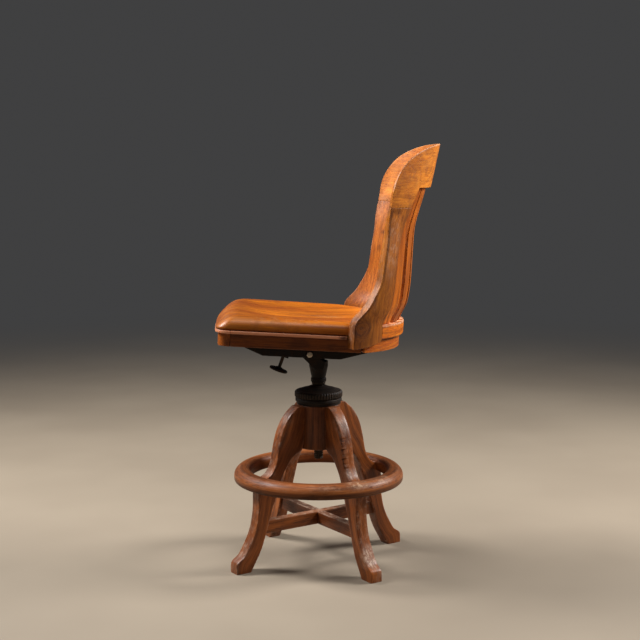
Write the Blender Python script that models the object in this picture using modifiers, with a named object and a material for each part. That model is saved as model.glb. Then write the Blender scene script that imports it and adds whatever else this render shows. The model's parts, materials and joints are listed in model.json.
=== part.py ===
"""Oak swivel stool with a tilting seat and a barrel back.

Four sawn legs stand round a turned post and carry a foot ring. A hand wheel on the
hub plate raises a keyed screw. A socket casting swivels on the screw and holds the
tilting seat, whose spring is set by a hand disc under the front of the seat.

Metres, +Z up, the front of the seat towards -Y. The origin is on the floor, at the
middle of the whole stool's footprint.
"""
import bmesh
import bpy
import math
from mathutils import Matrix, Vector

# Fits
GAP = 0.0003
RUN = 0.0005
SCREW_RIM = 0.0008

# Base: post, legs, foot ring and stretchers
BASE_TURN = math.radians(33.1)
LEG_COUNT = 4
POST_RADIUS = 0.0590
POST_BOTTOM = 0.3090
POST_TOP = 0.4270
POST_CHAMFER = 0.0030
LEG_THICKNESS = 0.0346
LEG_EDGE = 0.0040
LEG_TOP_REACH = 0.0740
TOE_RADIUS = 0.2680
TOE_HEIGHT = 0.0300
HEEL_RADIUS = 0.2240
RING_OUTER_RADIUS = 0.2286
RING_WIDTH = 0.0460
RING_HEIGHT = 0.0370
RING_MID_Z = 0.2355
RING_ROUND = 0.0150
RING_LEDGE = 0.0165
STRETCHER_TOP = 0.1300
STRETCHER_HEIGHT = 0.0340
STRETCHER_THICKNESS = 0.0230
STRETCHER_SETBACK = 0.0360
STRETCHER_EDGE = 0.0015
TENON_THICKNESS = 0.0140
TENON_LENGTH = 0.0200
TENON_SHOULDER = 0.0180
RING_SCREW_RADIUS = 0.0025
RING_SCREW_HEAD = 0.0050
RING_SCREW_BITE = 0.0200
RING_SCREW_SETBACK = 0.0440
RING_SCREW_RECESS = 0.0240

# Hub: plate and sleeve, key, hand wheel, height screw
PLATE_RADIUS = 0.0625
PLATE_THICKNESS = 0.0160
LIP_RADIUS = 0.0595
LIP_THICKNESS = 0.0070
SLEEVE_RADIUS = 0.0200
SLEEVE_DEPTH = 0.0750
SCREW_RADIUS = 0.0127
SCREW_BOTTOM = 0.2750
KEY_WIDTH = 0.0060
KEY_HEIGHT = 0.0200
KEY_DROP = 0.0410
KEYWAY_DEPTH = 0.0036
HUB_SCREW_CIRCLE = 0.0420
HUB_SCREW_RADIUS = 0.0025
HUB_SCREW_HEAD = 0.0050
HUB_SCREW_LENGTH = 0.0400
WHEEL_RADIUS = 0.0645
WHEEL_RIM = 0.0190
WHEEL_DOME = 0.0140
WHEEL_FLUTES = 36
FLUTE_DEPTH = 0.0016

# Swivel head: journal, socket casting, tilt pin
SHOULDER_RISE = 0.0025
WASHER_THICKNESS = 0.0060
WASHER_RADIUS = 0.0185
JOURNAL_RADIUS = 0.0105
COLLAR_RADIUS = 0.0208
COLLAR_HEIGHT = 0.0090
NECK_RADIUS = 0.0188
CUP_RADIUS = 0.0255
CUP_WALL = 0.0080
SOCKET_BORE_LENGTH = 0.0425
CUP_DEPTH = 0.0145
NUT_RADIUS = 0.0150
NUT_HEIGHT = 0.0085
THREAD_END_RADIUS = 0.0088
PIVOT_FORWARD = 0.0240
PIVOT_RISE = 0.0791
BARREL_RADIUS = 0.0135
EAR_THICKNESS = 0.0090
PIN_RADIUS = 0.0060
PIN_HEAD_RADIUS = 0.0080
PIN_HEAD_LENGTH = 0.0055

# Seat iron, in the seat's own frame: its origin is the tilt pin's axis
SEAT_RAKE = math.radians(3.0)
IRON_INNER = 0.0318
IRON_PLATE = 0.0077
IRON_BOTTOM = -0.0100
IRON_TOP = 0.0360
IRON_FLANGE = 0.0240
IRON_FLANGE_THICKNESS = 0.0060
IRON_FRONT = -0.2050
IRON_REAR = 0.1900
IRON_FLAT_FRONT = -0.1245
IRON_FLAT_REAR = 0.0820
IRON_WEB = 0.0080
IRON_EDGE = 0.0012
IRON_SCREW_RADIUS = 0.0025
IRON_SCREW_HEAD = 0.0050
IRON_SCREW_LENGTH = 0.0280

# Tension screw, in a frame of its own along the rod
DISC_FORWARD = 0.0811
DISC_DROP = 0.0509
ROD_LEAN = math.radians(17.0)
ROD_RADIUS = 0.0045
DISC_RADIUS = 0.0250
DISC_THICKNESS = 0.0060
DISC_HUB_RADIUS = 0.0095
DISC_HUB_LENGTH = 0.0100
SPRING_NUT_START = 0.0410
SPRING_NUT_THICKNESS = 0.0080
SPRING_NUT_DEPTH = 0.0260
FORK_START = 0.0972
FORK_THICKNESS = 0.0080
FORK_HALF_WIDTH = 0.0130
FORK_SLOT_HALF_WIDTH = 0.0056
FORK_FRONT = 0.0150
FORK_REAR = 0.0300
FORK_SLOT_REAR = 0.0140
BRIDGE_START = 0.1125
BRIDGE_THICKNESS = 0.0070
BRIDGE_HALF_DEPTH = 0.0090
ROD_HEAD_RADIUS = 0.0085
ROD_HEAD_LENGTH = 0.0050
SPRING_WIRE_RADIUS = 0.0017
SPRING_MEAN_RADIUS = 0.0105
SPRING_TURNS = 6
SPRING_POINTS_PER_TURN = 10

# Seat woodwork, in the seat's own frame
APRON_HALF_WIDTH = 0.2088
APRON_FRONT = -0.2375
APRON_CORNER = 0.0300
APRON_BOW = 0.0060
APRON_THICKNESS = 0.0220
APRON_BOTTOM = 0.0363
APRON_HEIGHT = 0.0330
APRON_INSET = 0.0035
APRON_EDGE = 0.0025
APRON_REAR_INSET = 0.0100
BEAD_THICKNESS = 0.0080
BEAD_PROJECTION = 0.0065
BEAD_WIDTH = 0.0300
BEAD_NOSE = 0.35
PANEL_EDGE = 0.0340
PANEL_CLEAR = 0.0008
PANEL_ROUND = 0.0390
PANEL_DISH = 0.0120
PANEL_RIDGE = 0.0030
PANEL_LIP = 0.0100
BATTEN_WIDTH = 0.0500
BATTEN_FRONT_Y = -0.1600
BATTEN_REAR_Y = 0.1050

# Barrel back, in the seat's own frame
BACK_REAR = 0.2463
FOOT_SETBACK = 0.1426
STILE_EAR = 0.0318
RAIL_HEIGHT = 0.0350
RAIL_THICKNESS = 0.0300
FOOT_DROP = 0.0220
BACK_SWEEP = 0.0492
CREST_SWEEP = 0.0672
CREST_RADIUS = 0.3100
CREST_SHOULDER_Z = 0.4460
CREST_RISE = 0.1256
CREST_HALF_WIDTH = 0.2366
CREST_CORNER_POWER = 2.6
CREST_TIP = 0.0080
CREST_TIP_SHARE = 0.40
CREST_LOWER_Z = 0.4575
CREST_JOINT_Z = 0.4066
CREST_THICKNESS = 0.0260
STILE_TOP_THICKNESS = 0.0220
STILE_REAR_SHARE = 0.8240
SLAT_COUNT = 6
SLAT_WIDTH = 0.0460
SLAT_THICKNESS = 0.0100
SLAT_INSET = 0.0120
BACK_EDGE = 0.0050
SLAT_EDGE = 0.0020
STILE_SCREW_RADIUS = 0.0025
STILE_SCREW_HEAD = 0.0050
STILE_SCREW_LENGTH = 0.0310
STILE_SCREW_SETBACK = 0.0200

# Derived heights and places
PLATE_TOP = POST_TOP + GAP + PLATE_THICKNESS
KEY_BOTTOM = POST_TOP - KEY_DROP
WHEEL_BOTTOM = PLATE_TOP + RUN
WHEEL_RIM_TOP = WHEEL_BOTTOM + WHEEL_RIM
WHEEL_TOP = WHEEL_RIM_TOP + WHEEL_DOME
SHOULDER_Z = WHEEL_TOP + SHOULDER_RISE
WASHER_BOTTOM = SHOULDER_Z + GAP
SOCKET_BOTTOM = WASHER_BOTTOM + WASHER_THICKNESS + RUN
CUP_FLOOR = SOCKET_BOTTOM + SOCKET_BORE_LENGTH
CUP_TOP = CUP_FLOOR + CUP_DEPTH
PIVOT_Z = SOCKET_BOTTOM + PIVOT_RISE
STRETCHER_REACH = HEEL_RADIUS - STRETCHER_SETBACK
RING_INNER_RADIUS = RING_OUTER_RADIUS - RING_WIDTH
RING_TOP = RING_MID_Z + RING_HEIGHT / 2
RING_BOTTOM = RING_MID_Z - RING_HEIGHT / 2
RING_SCREW_LENGTH = RING_SCREW_SETBACK + RING_SCREW_BITE
APRON_TOP = APRON_BOTTOM + APRON_HEIGHT
BEAD_BOTTOM = APRON_TOP + GAP
BEAD_TOP = BEAD_BOTTOM + BEAD_THICKNESS
PANEL_BOTTOM = BEAD_TOP + GAP
PANEL_TOP = PANEL_BOTTOM + PANEL_EDGE
RAIL_BOTTOM = APRON_TOP + GAP
RAIL_TOP = RAIL_BOTTOM + RAIL_HEIGHT
FOOT_HALF_WIDTH = APRON_HALF_WIDTH + STILE_EAR
FOOT_RADIUS = (FOOT_HALF_WIDTH ** 2 + FOOT_SETBACK ** 2) / (2 * FOOT_SETBACK)
SEAT_ARC_Y = BACK_REAR - FOOT_RADIUS
PANEL_ARC = FOOT_RADIUS - RAIL_THICKNESS - PANEL_CLEAR
PANEL_HALF_WIDTH = APRON_HALF_WIDTH + APRON_INSET
PANEL_FRONT = APRON_FRONT - APRON_INSET
APRON_ARC = FOOT_RADIUS - APRON_REAR_INSET
STILE_REAR_ANGLE = STILE_REAR_SHARE * math.asin(CREST_HALF_WIDTH / CREST_RADIUS)
BEAD_END_Y = SEAT_ARC_Y + (FOOT_RADIUS - RAIL_THICKNESS) * math.cos(
    math.asin(FOOT_HALF_WIDTH / FOOT_RADIUS)) - GAP

# Line of the back seen from the side: height and how far it stands behind the rail
BACK_HEIGHT = CREST_LOWER_Z - RAIL_TOP
BACK_LINE = ((RAIL_BOTTOM, 0.0), (RAIL_TOP, 0.0), (RAIL_TOP + 0.142 * BACK_HEIGHT, 0.386 * BACK_SWEEP),
             (RAIL_TOP + 0.320 * BACK_HEIGHT, 0.494 * BACK_SWEEP),
             (RAIL_TOP + 0.650 * BACK_HEIGHT, 0.508 * BACK_SWEEP), (CREST_LOWER_Z, BACK_SWEEP),
             (CREST_SHOULDER_Z + CREST_RISE, CREST_SWEEP))
# Front edge of a stile: height and half width beyond the apron's side
STILE_HEIGHT = CREST_JOINT_Z - RAIL_TOP
CREST_EAR = CREST_HALF_WIDTH - APRON_HALF_WIDTH
STILE_LINE = ((RAIL_BOTTOM, STILE_EAR), (RAIL_TOP + 0.044 * STILE_HEIGHT, STILE_EAR),
              (RAIL_TOP + 0.196 * STILE_HEIGHT, 0.676 * STILE_EAR),
              (RAIL_TOP + 0.421 * STILE_HEIGHT, 0.258 * STILE_EAR),
              (RAIL_TOP + 0.713 * STILE_HEIGHT, 0.189 * STILE_EAR),
              (RAIL_TOP + 0.945 * STILE_HEIGHT, 0.550 * CREST_EAR), (CREST_SHOULDER_Z, CREST_EAR))
# Rear edge of a stile: height and share of its angle at the foot
REAR_LINE = ((RAIL_TOP, 1.0), (RAIL_TOP + 0.317 * BACK_HEIGHT, 0.963),
             (RAIL_TOP + 0.541 * BACK_HEIGHT, 0.920), (RAIL_TOP + 0.763 * BACK_HEIGHT, 0.817),
             (CREST_LOWER_Z, 0.735))

# Facet counts
ROUND_STEPS = 32
RING_STEPS = 48
SMALL_STEPS = 16
FOOT_ROWS = 4
STILE_ROWS = 13
CREST_COLUMNS = 28


def clear_scene():
    """Removes every object of the open scene."""
    for obj in list(bpy.data.objects):
        bpy.data.objects.remove(obj, do_unlink=True)


def new_collection(name):
    """Makes a collection in the open scene."""
    collection = bpy.data.collections.new(name)
    bpy.context.scene.collection.children.link(collection)
    return collection


clear_scene()
STOOL = new_collection("swivel_stool")
CUTTERS = new_collection("cutters")


def make_material(name, colour, roughness, metallic=0.0):
    """Makes a plain Principled material."""
    material = bpy.data.materials.new(name)
    material.use_nodes = True
    shader = material.node_tree.nodes["Principled BSDF"]
    shader.inputs["Base Color"].default_value = (*colour, 1.0)
    shader.inputs["Roughness"].default_value = roughness
    shader.inputs["Metallic"].default_value = metallic
    return material


def empty(name, parent=None, location=(0, 0, 0), turn_x=0.0):
    """Makes an empty that carries the pieces of one moving body."""
    obj = bpy.data.objects.new(name, None)
    STOOL.objects.link(obj)
    obj.parent = parent
    obj.location = location
    obj.rotation_euler = (turn_x, 0, 0)
    return obj


def evaluated_mesh(obj):
    """Takes an object's mesh with its modifiers, caps welded and faces turned out."""
    depsgraph = bpy.context.evaluated_depsgraph_get()
    mesh = bpy.data.meshes.new_from_object(obj.evaluated_get(depsgraph))
    bm = bmesh.new()
    bm.from_mesh(mesh)
    bmesh.ops.remove_doubles(bm, verts=bm.verts, dist=1e-6)
    bmesh.ops.recalc_face_normals(bm, faces=bm.faces)
    bm.to_mesh(mesh)
    bm.free()
    return mesh


def scratch(name, data):
    """Links a working object that is turned into a mesh and removed."""
    obj = bpy.data.objects.new(name, data)
    CUTTERS.objects.link(obj)
    return obj


def finish_mesh(obj):
    """Returns a working object's evaluated mesh and removes the object."""
    mesh = evaluated_mesh(obj)
    bpy.data.objects.remove(obj, do_unlink=True)
    return mesh


def turned_mesh(profile, steps=ROUND_STEPS, phase=0.0):
    """Turns a closed (radius, height) profile about Z with a Screw modifier."""
    points = [(r * math.cos(phase), r * math.sin(phase), z) for r, z in profile]
    edges = [(i, (i + 1) % len(points)) for i in range(len(points))]
    if profile[0][0] == 0.0 and profile[-1][0] == 0.0:
        edges.pop()
    mesh = bpy.data.meshes.new("profile")
    mesh.from_pydata(points, edges, [])
    obj = scratch("profile", mesh)
    screw = obj.modifiers.new("turn", 'SCREW')
    screw.steps = screw.render_steps = steps
    screw.use_merge_vertices = True
    screw.merge_threshold = 1e-6
    return finish_mesh(obj)


PLANES = {
    "XY": Matrix.Identity(4),
    "XZ": Matrix(((1, 0, 0, 0), (0, 0, -1, 0), (0, 1, 0, 0), (0, 0, 0, 1))),
    "YZ": Matrix(((0, 0, 1, 0), (1, 0, 0, 0), (0, 1, 0, 0), (0, 0, 0, 1))),
}


def outline_mesh(points, thickness, plane, resolution=1):
    """Extrudes a closed outline, centred on its plane.

    A point is (u, v) for a corner, or (u, v, True) where the outline runs smoothly.
    """
    curve = bpy.data.curves.new("outline", 'CURVE')
    curve.dimensions = '2D'
    curve.fill_mode = 'BOTH'
    curve.extrude = thickness / 2
    curve.resolution_u = resolution
    spline = curve.splines.new('BEZIER')
    spline.bezier_points.add(len(points) - 1)
    for target, point in zip(spline.bezier_points, points):
        target.co = (point[0], point[1], 0)
        kind = 'AUTO' if len(point) == 3 else 'VECTOR'
        target.handle_left_type = target.handle_right_type = kind
    spline.use_cyclic_u = True
    mesh = finish_mesh(scratch("outline", curve))
    bm = bmesh.new()
    bm.from_mesh(mesh)
    bmesh.ops.dissolve_limit(bm, angle_limit=math.radians(0.5), verts=bm.verts, edges=bm.edges)
    bm.to_mesh(mesh)
    bm.free()
    mesh.transform(PLANES[plane])
    return mesh


def box_mesh(low, high):
    """Makes a box between two corners."""
    low, high = Vector(low), Vector(high)
    mesh = bpy.data.meshes.new("box")
    bm = bmesh.new()
    bmesh.ops.create_cube(bm, size=1.0)
    bmesh.ops.scale(bm, vec=high - low, verts=bm.verts)
    bmesh.ops.translate(bm, vec=(low + high) / 2, verts=bm.verts)
    bm.to_mesh(mesh)
    bm.free()
    return mesh


def rod_mesh(radius, start, end, steps=SMALL_STEPS):
    """Makes a round bar between two points."""
    start, end = Vector(start), Vector(end)
    along = end - start
    mesh = bpy.data.meshes.new("rod")
    bm = bmesh.new()
    bmesh.ops.create_cone(bm, cap_ends=True, segments=steps, radius1=radius, radius2=radius,
                          depth=along.length)
    bm.to_mesh(mesh)
    bm.free()
    turn = Vector((0, 0, 1)).rotation_difference(along).to_matrix().to_4x4()
    mesh.transform(Matrix.Translation((start + end) / 2) @ turn)
    return mesh


def grid_solid(outer, inner, rounded=()):
    """Closes two matching grids of points into one solid, faces turned out.

    The edges of the sides named in rounded (low, high, left, right) take the bevel.
    """
    rows, columns = len(outer), len(outer[0])
    bm = bmesh.new()
    weight = bm.edges.layers.float.new("bevel_weight_edge")
    skins = [[[bm.verts.new(p) for p in row] for row in grid] for grid in (outer, inner)]
    for skin in skins:
        for i in range(rows - 1):
            for j in range(columns - 1):
                bm.faces.new((skin[i][j], skin[i][j + 1], skin[i + 1][j + 1], skin[i + 1][j]))
    front, back = skins
    for j in range(columns - 1):
        for i in (0, rows - 1):
            bm.faces.new((front[i][j], front[i][j + 1], back[i][j + 1], back[i][j]))
    for i in range(rows - 1):
        for j in (0, columns - 1):
            bm.faces.new((front[i][j], front[i + 1][j], back[i + 1][j], back[i][j]))
    for skin in skins:
        lines = {"low": skin[0], "high": skin[-1], "left": [row[0] for row in skin],
                 "right": [row[-1] for row in skin]}
        for side in rounded:
            for a, b in zip(lines[side], lines[side][1:]):
                bm.edges.get((a, b))[weight] = 1.0
    return close_mesh(bm)


def ring_solid(rings):
    """Joins rings of points into a solid, capped at both ends."""
    bm = bmesh.new()
    loops = [[bm.verts.new(p) for p in ring] for ring in rings]
    count = len(loops[0])
    bm.faces.new(loops[0])
    bm.faces.new(loops[-1])
    for low, high in zip(loops, loops[1:]):
        for i in range(count):
            j = (i + 1) % count
            bm.faces.new((low[i], low[j], high[j], high[i]))
    return close_mesh(bm)


def close_mesh(bm):
    """Turns a closed bmesh's faces out and returns it as a mesh."""
    bmesh.ops.recalc_face_normals(bm, faces=bm.faces)
    mesh = bpy.data.meshes.new("solid")
    bm.to_mesh(mesh)
    bm.free()
    return mesh


def group_mesh(mesh, places):
    """Copies one solid to several places, as separate bodies of one mesh."""
    bm = bmesh.new()
    for place in places:
        copy = mesh.copy()
        copy.transform(place)
        bm.from_mesh(copy)
        bpy.data.meshes.remove(copy)
    return close_mesh(bm)


def part(name, mesh, parent, material, smooth=35.0):
    """Adds a finished piece to the stool."""
    obj = bpy.data.objects.new(name, mesh)
    STOOL.objects.link(obj)
    obj.parent = parent
    mesh.materials.clear()
    mesh.materials.append(material)
    mesh.shade_smooth()
    mesh.set_sharp_from_angle(angle=math.radians(smooth))
    return obj


def tool(mesh, parent):
    """Adds a cutter that stays out of the finished stool."""
    obj = bpy.data.objects.new("cutter", mesh)
    CUTTERS.objects.link(obj)
    obj.parent = parent
    obj.hide_render = True
    obj.display_type = 'WIRE'
    return obj


def soften(obj, width, segments=1, marked=False):
    """Rounds a piece's sharp edges, or only its marked ones."""
    bevel = obj.modifiers.new("soften", 'BEVEL')
    bevel.width = width
    bevel.segments = segments
    bevel.limit_method = 'WEIGHT' if marked else 'ANGLE'
    bevel.angle_limit = math.radians(40.0)


def combine(obj, mesh, operation='DIFFERENCE'):
    """Cuts a piece with another solid, or joins that solid to it."""
    boolean = obj.modifiers.new(operation.lower(), 'BOOLEAN')
    boolean.operation = operation
    boolean.solver = 'EXACT'
    boolean.object = tool(mesh, obj)


def smooth_value(line, z):
    """Reads a smooth curve through (height, value) points, level past both ends."""
    if z <= line[0][0]:
        return line[0][1]
    if z >= line[-1][0]:
        return line[-1][1]
    k = next(i for i in range(len(line) - 1) if line[i + 1][0] >= z)

    def rise(i):
        return (line[i + 1][1] - line[i][1]) / (line[i + 1][0] - line[i][0])

    def slope(i):
        if i in (0, len(line) - 1):
            return rise(min(i, len(line) - 2))
        before, after = rise(i - 1), rise(i)
        return 2 * before * after / (before + after) if before * after > 0 else 0.0

    (z0, a), (z1, b) = line[k], line[k + 1]
    span = z1 - z0
    t = (z - z0) / span
    return ((2 * t ** 3 - 3 * t ** 2 + 1) * a + (t ** 3 - 2 * t ** 2 + t) * span * slope(k)
            + (3 * t ** 2 - 2 * t ** 3) * b + (t ** 3 - t ** 2) * span * slope(k + 1))


def spread(low, high, count):
    """Gives evenly spaced values, both ends included."""
    return [low + (high - low) * i / (count - 1) for i in range(count)]


def screw_profile(radius, head, length):
    """Profile of a countersunk wood screw, head up at height 0."""
    return ((0.0, 0.0), (head, 0.0), (head, -SCREW_RIM), (radius, -SCREW_RIM - (head - radius)),
            (radius, -length + radius), (0.0, -length))


def screw_pocket(radius, head, length, recess=0.0040):
    """Profile of the hole that a countersunk screw sits in, open above its head."""
    wide, narrow = head + GAP, radius + GAP
    return ((0.0, recess), (wide, recess), (wide, -SCREW_RIM), (narrow, -SCREW_RIM - (head - radius)),
            (narrow, -length - GAP), (0.0, -length - GAP))


def pointing(start, direction):
    """Places a solid's top at a point with its +Z axis along a direction."""
    turn = Vector((0, 0, 1)).rotation_difference(Vector(direction)).to_matrix().to_4x4()
    return Matrix.Translation(start) @ turn


OAK_BASE = make_material("oak_dark", (0.20, 0.085, 0.035), 0.45)
OAK_RING = make_material("oak_ring", (0.23, 0.095, 0.040), 0.42)
OAK_SEAT = make_material("oak_amber", (0.42, 0.19, 0.055), 0.35)
OAK_BACK = make_material("oak_orange", (0.36, 0.15, 0.045), 0.38)
OAK_BEAD = make_material("oak_worn", (0.36, 0.16, 0.09), 0.45)
OAK_HIDDEN = make_material("oak_plain", (0.30, 0.17, 0.08), 0.65)
IRON = make_material("cast_iron", (0.045, 0.035, 0.030), 0.60, 0.6)
STEEL = make_material("dark_steel", (0.09, 0.08, 0.07), 0.42, 0.9)
PALE_STEEL = make_material("bright_steel", (0.55, 0.50, 0.42), 0.35, 1.0)

ROOT = empty("stool")
BASE = empty("base_axis", ROOT)
WHEEL = empty("wheel_axis", ROOT)
SPINDLE = empty("spindle_axis", ROOT)
HEAD = empty("swivel_axis", ROOT)
SEAT = empty("tilt_axis", ROOT, (0, -PIVOT_FORWARD, PIVOT_Z), -SEAT_RAKE)
TENSION = empty("tension_axis", SEAT, (0, -DISC_FORWARD, -DISC_DROP), -ROD_LEAN)
SEAT_PLACE = Matrix.Translation((0, -PIVOT_FORWARD, PIVOT_Z)) @ Matrix.Rotation(-SEAT_RAKE, 4, 'X')
ROD_PLACE = Matrix.Translation((0, -DISC_FORWARD, -DISC_DROP)) @ Matrix.Rotation(-ROD_LEAN, 4, 'X')


# Base
def ring_profile(grow=0.0):
    """Rounded section of the foot ring, grown by a clearance where it is a cutter."""
    r0, r1 = RING_INNER_RADIUS - grow, RING_OUTER_RADIUS + grow
    z0, z1 = RING_BOTTOM - grow, RING_TOP + grow
    corner = RING_ROUND + grow
    points = []
    for cx, cz, start in ((r1 - corner, z1 - corner, 90), (r1 - corner, z0 + corner, 0),
                          (r0 + corner, z0 + corner, -90), (r0 + corner, z1 - corner, -180)):
        for step in (0, 45, 90):
            a = math.radians(start - step)
            points.append((cx + corner * math.cos(a), cz + corner * math.sin(a)))
    return points


def leg_outline():
    """Side outline of a leg, radius against height, from its top round to its heel."""
    top = POST_TOP - GAP
    flare = RING_INNER_RADIUS
    outer = [(LEG_TOP_REACH, top), (LEG_TOP_REACH + 0.031, top - 0.027, True),
             (LEG_TOP_REACH + 0.053, top - 0.068, True), (LEG_TOP_REACH + 0.0635, top - 0.108, True),
             (flare - 0.0385, RING_TOP + 0.030, True), (flare - 0.022, RING_TOP - 0.003),
             (flare + 0.012, RING_TOP - 0.016), (flare + RING_LEDGE, RING_BOTTOM - 0.012),
             (flare + RING_LEDGE, RING_BOTTOM - 0.047, True),
             (flare + RING_LEDGE + 0.005, RING_BOTTOM - 0.085, True),
             (flare + RING_LEDGE + 0.0145, RING_BOTTOM - 0.117, True),
             (TOE_RADIUS - 0.0385, TOE_HEIGHT + 0.039, True), (TOE_RADIUS - 0.022, TOE_HEIGHT + 0.014, True),
             (TOE_RADIUS - 0.003, TOE_HEIGHT), (TOE_RADIUS, TOE_HEIGHT - 0.006), (TOE_RADIUS, 0.0)]
    inner = [(HEEL_RADIUS, 0.0), (HEEL_RADIUS - 0.006, 0.010), (HEEL_RADIUS - 0.030, 0.053, True),
             (HEEL_RADIUS - 0.0485, 0.102, True), (HEEL_RADIUS - 0.0565, 0.132, True),
             (HEEL_RADIUS - 0.0680, 0.165, True), (HEEL_RADIUS - 0.0800, 0.195, True),
             (flare - 0.0575, RING_TOP - 0.007, True), (flare - 0.0755, RING_TOP + 0.021, True),
             (POST_RADIUS + 0.029, POST_BOTTOM - 0.013, True), (POST_RADIUS + 0.004, POST_BOTTOM),
             (POST_RADIUS - 0.006, POST_BOTTOM), (POST_RADIUS - 0.006, top)]
    return outer + inner


def stretcher_pocket(grow):
    """Corners of a stretcher's section from near the axis to one end, grown by a clearance."""
    half = STRETCHER_THICKNESS / 2 + grow
    return ((STRETCHER_REACH / 2, -half, STRETCHER_TOP - STRETCHER_HEIGHT - grow),
            (STRETCHER_REACH + grow, half, STRETCHER_TOP + grow))


RING_SCREW_PLACE = pointing((RING_INNER_RADIUS - RING_SCREW_SETBACK, 0, RING_MID_Z), (-1, 0, 0))
RING_SCREW = (RING_SCREW_RADIUS, RING_SCREW_HEAD, RING_SCREW_LENGTH)
HUB_SCREW = (HUB_SCREW_RADIUS, HUB_SCREW_HEAD, HUB_SCREW_LENGTH)
IRON_SCREW = (IRON_SCREW_RADIUS, IRON_SCREW_HEAD, IRON_SCREW_LENGTH)
STILE_SCREW = (STILE_SCREW_RADIUS, STILE_SCREW_HEAD, STILE_SCREW_LENGTH)
LEG_TURNS = [Matrix.Rotation(BASE_TURN + math.tau * i / LEG_COUNT, 4, 'Z') for i in range(LEG_COUNT)]
HUB_SCREW_PLACES = [turn @ Matrix.Rotation(math.pi / LEG_COUNT, 4, 'Z')
                    @ Matrix.Translation((HUB_SCREW_CIRCLE, 0, PLATE_TOP - GAP)) for turn in LEG_TURNS]
IRON_SCREW_PLACES = [pointing((side * (IRON_INNER + IRON_PLATE + IRON_FLANGE / 2), y,
                               IRON_TOP - IRON_FLANGE_THICKNESS + GAP), (0, 0, -1))
                     for side in (-1, 1) for y in (BATTEN_FRONT_Y, BATTEN_REAR_Y)]
STILE_SCREW_PLACES = [pointing((side * (APRON_HALF_WIDTH - APRON_THICKNESS + GAP),
                                BEAD_END_Y + STILE_SCREW_SETBACK, APRON_TOP - FOOT_DROP / 2), (-side, 0, 0))
                      for side in (1, -1)]


def screw_holes(sizes, places, *recess):
    """Cutter with the pockets of a set of screws, sizes being (radius, head, length)."""
    return group_mesh(turned_mesh(screw_pocket(*sizes, *recess), 10), places)


def add_screws(name, sizes, places, parent):
    """Adds a set of wood screws, one object at each place."""
    mesh = turned_mesh(screw_profile(*sizes), 8)
    for i, place in enumerate(places):
        part(f"{name}_{i + 1}", mesh, parent, STEEL).matrix_basis = place


def tenon_box(grow):
    """Stub tenon of a leg, or its mortise when grown by a clearance."""
    half = TENON_THICKNESS / 2 + grow
    low, high = POST_BOTTOM + TENON_SHOULDER - grow, POST_TOP - TENON_SHOULDER + grow
    return box_mesh((POST_RADIUS - TENON_LENGTH - grow, -half, low),
                    (POST_RADIUS + TENON_LENGTH / 2, half, high))


def build_post():
    """Turned post with the bore for hub sleeve and height screw, and a mortise for each leg."""
    low, high = SCREW_RADIUS + 2 * RUN, SLEEVE_RADIUS + GAP
    step = POST_TOP - SLEEVE_DEPTH - GAP
    edge = POST_RADIUS - POST_CHAMFER
    post = part("hub_post", turned_mesh((
        (low, POST_BOTTOM), (edge, POST_BOTTOM), (POST_RADIUS, POST_BOTTOM + POST_CHAMFER),
        (POST_RADIUS, POST_TOP), (high, POST_TOP), (high, step), (low, step)),
        ROUND_STEPS, BASE_TURN), BASE, OAK_BASE)
    combine(post, group_mesh(tenon_box(GAP), LEG_TURNS))
    combine(post, screw_holes(HUB_SCREW, HUB_SCREW_PLACES))


def build_legs():
    """Four legs cut from one pattern: coped and tenoned to the post, notched for the ring."""
    blank = part("leg_blank", outline_mesh(leg_outline(), LEG_THICKNESS, "XZ", 2), BASE, OAK_BASE)
    soften(blank, LEG_EDGE, 2)
    cope = POST_RADIUS + GAP
    combine(blank, turned_mesh(((0.0, 2 * POST_TOP), (cope, 2 * POST_TOP), (cope, POST_BOTTOM / 2),
                                (0.0, POST_BOTTOM / 2))))
    combine(blank, turned_mesh(ring_profile(GAP), RING_STEPS))
    combine(blank, box_mesh(*stretcher_pocket(GAP)))
    combine(blank, tenon_box(0.0), 'UNION')
    combine(blank, screw_holes(RING_SCREW, [RING_SCREW_PLACE], RING_SCREW_RECESS))
    mesh = evaluated_mesh(blank)
    for obj in (*blank.children, blank):
        bpy.data.objects.remove(obj, do_unlink=True)
    for i, turn in enumerate(LEG_TURNS):
        part(f"leg_{i + 1}", mesh, BASE, OAK_BASE).matrix_basis = turn


def build_ring():
    """Bent foot ring in the legs' notches, and the screws that hold it."""
    places = [turn @ RING_SCREW_PLACE for turn in LEG_TURNS]
    ring = part("foot_ring", turned_mesh(ring_profile(), RING_STEPS, BASE_TURN), BASE, OAK_RING)
    combine(ring, screw_holes(RING_SCREW, places))
    add_screws("ring_screw", RING_SCREW, places, BASE)


def build_stretchers():
    """Two stretchers, halved over each other at the middle and housed in the legs."""
    half = STRETCHER_THICKNESS / 2
    bottom = STRETCHER_TOP - STRETCHER_HEIGHT
    lap = STRETCHER_TOP - STRETCHER_HEIGHT / 2
    for name, turn, low, high in (("stretcher_lower", LEG_TURNS[0], lap, STRETCHER_TOP + half),
                                  ("stretcher_upper", LEG_TURNS[1], bottom - half, lap + GAP)):
        bar = part(name, box_mesh((-STRETCHER_REACH, -half, bottom),
                                  (STRETCHER_REACH, half, STRETCHER_TOP)), BASE, OAK_BASE)
        bar.rotation_euler = turn.to_euler()
        soften(bar, STRETCHER_EDGE)
        combine(bar, box_mesh((-half - GAP, -2 * half, low), (half + GAP, 2 * half, high)))


# Hub and height screw
def key_box(grow, inner, outer):
    """Box of the key in its slot, grown by a clearance."""
    half = KEY_WIDTH / 2 + grow
    return box_mesh((inner, -half, KEY_BOTTOM - grow), (outer, half, KEY_BOTTOM + KEY_HEIGHT + grow))


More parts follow.
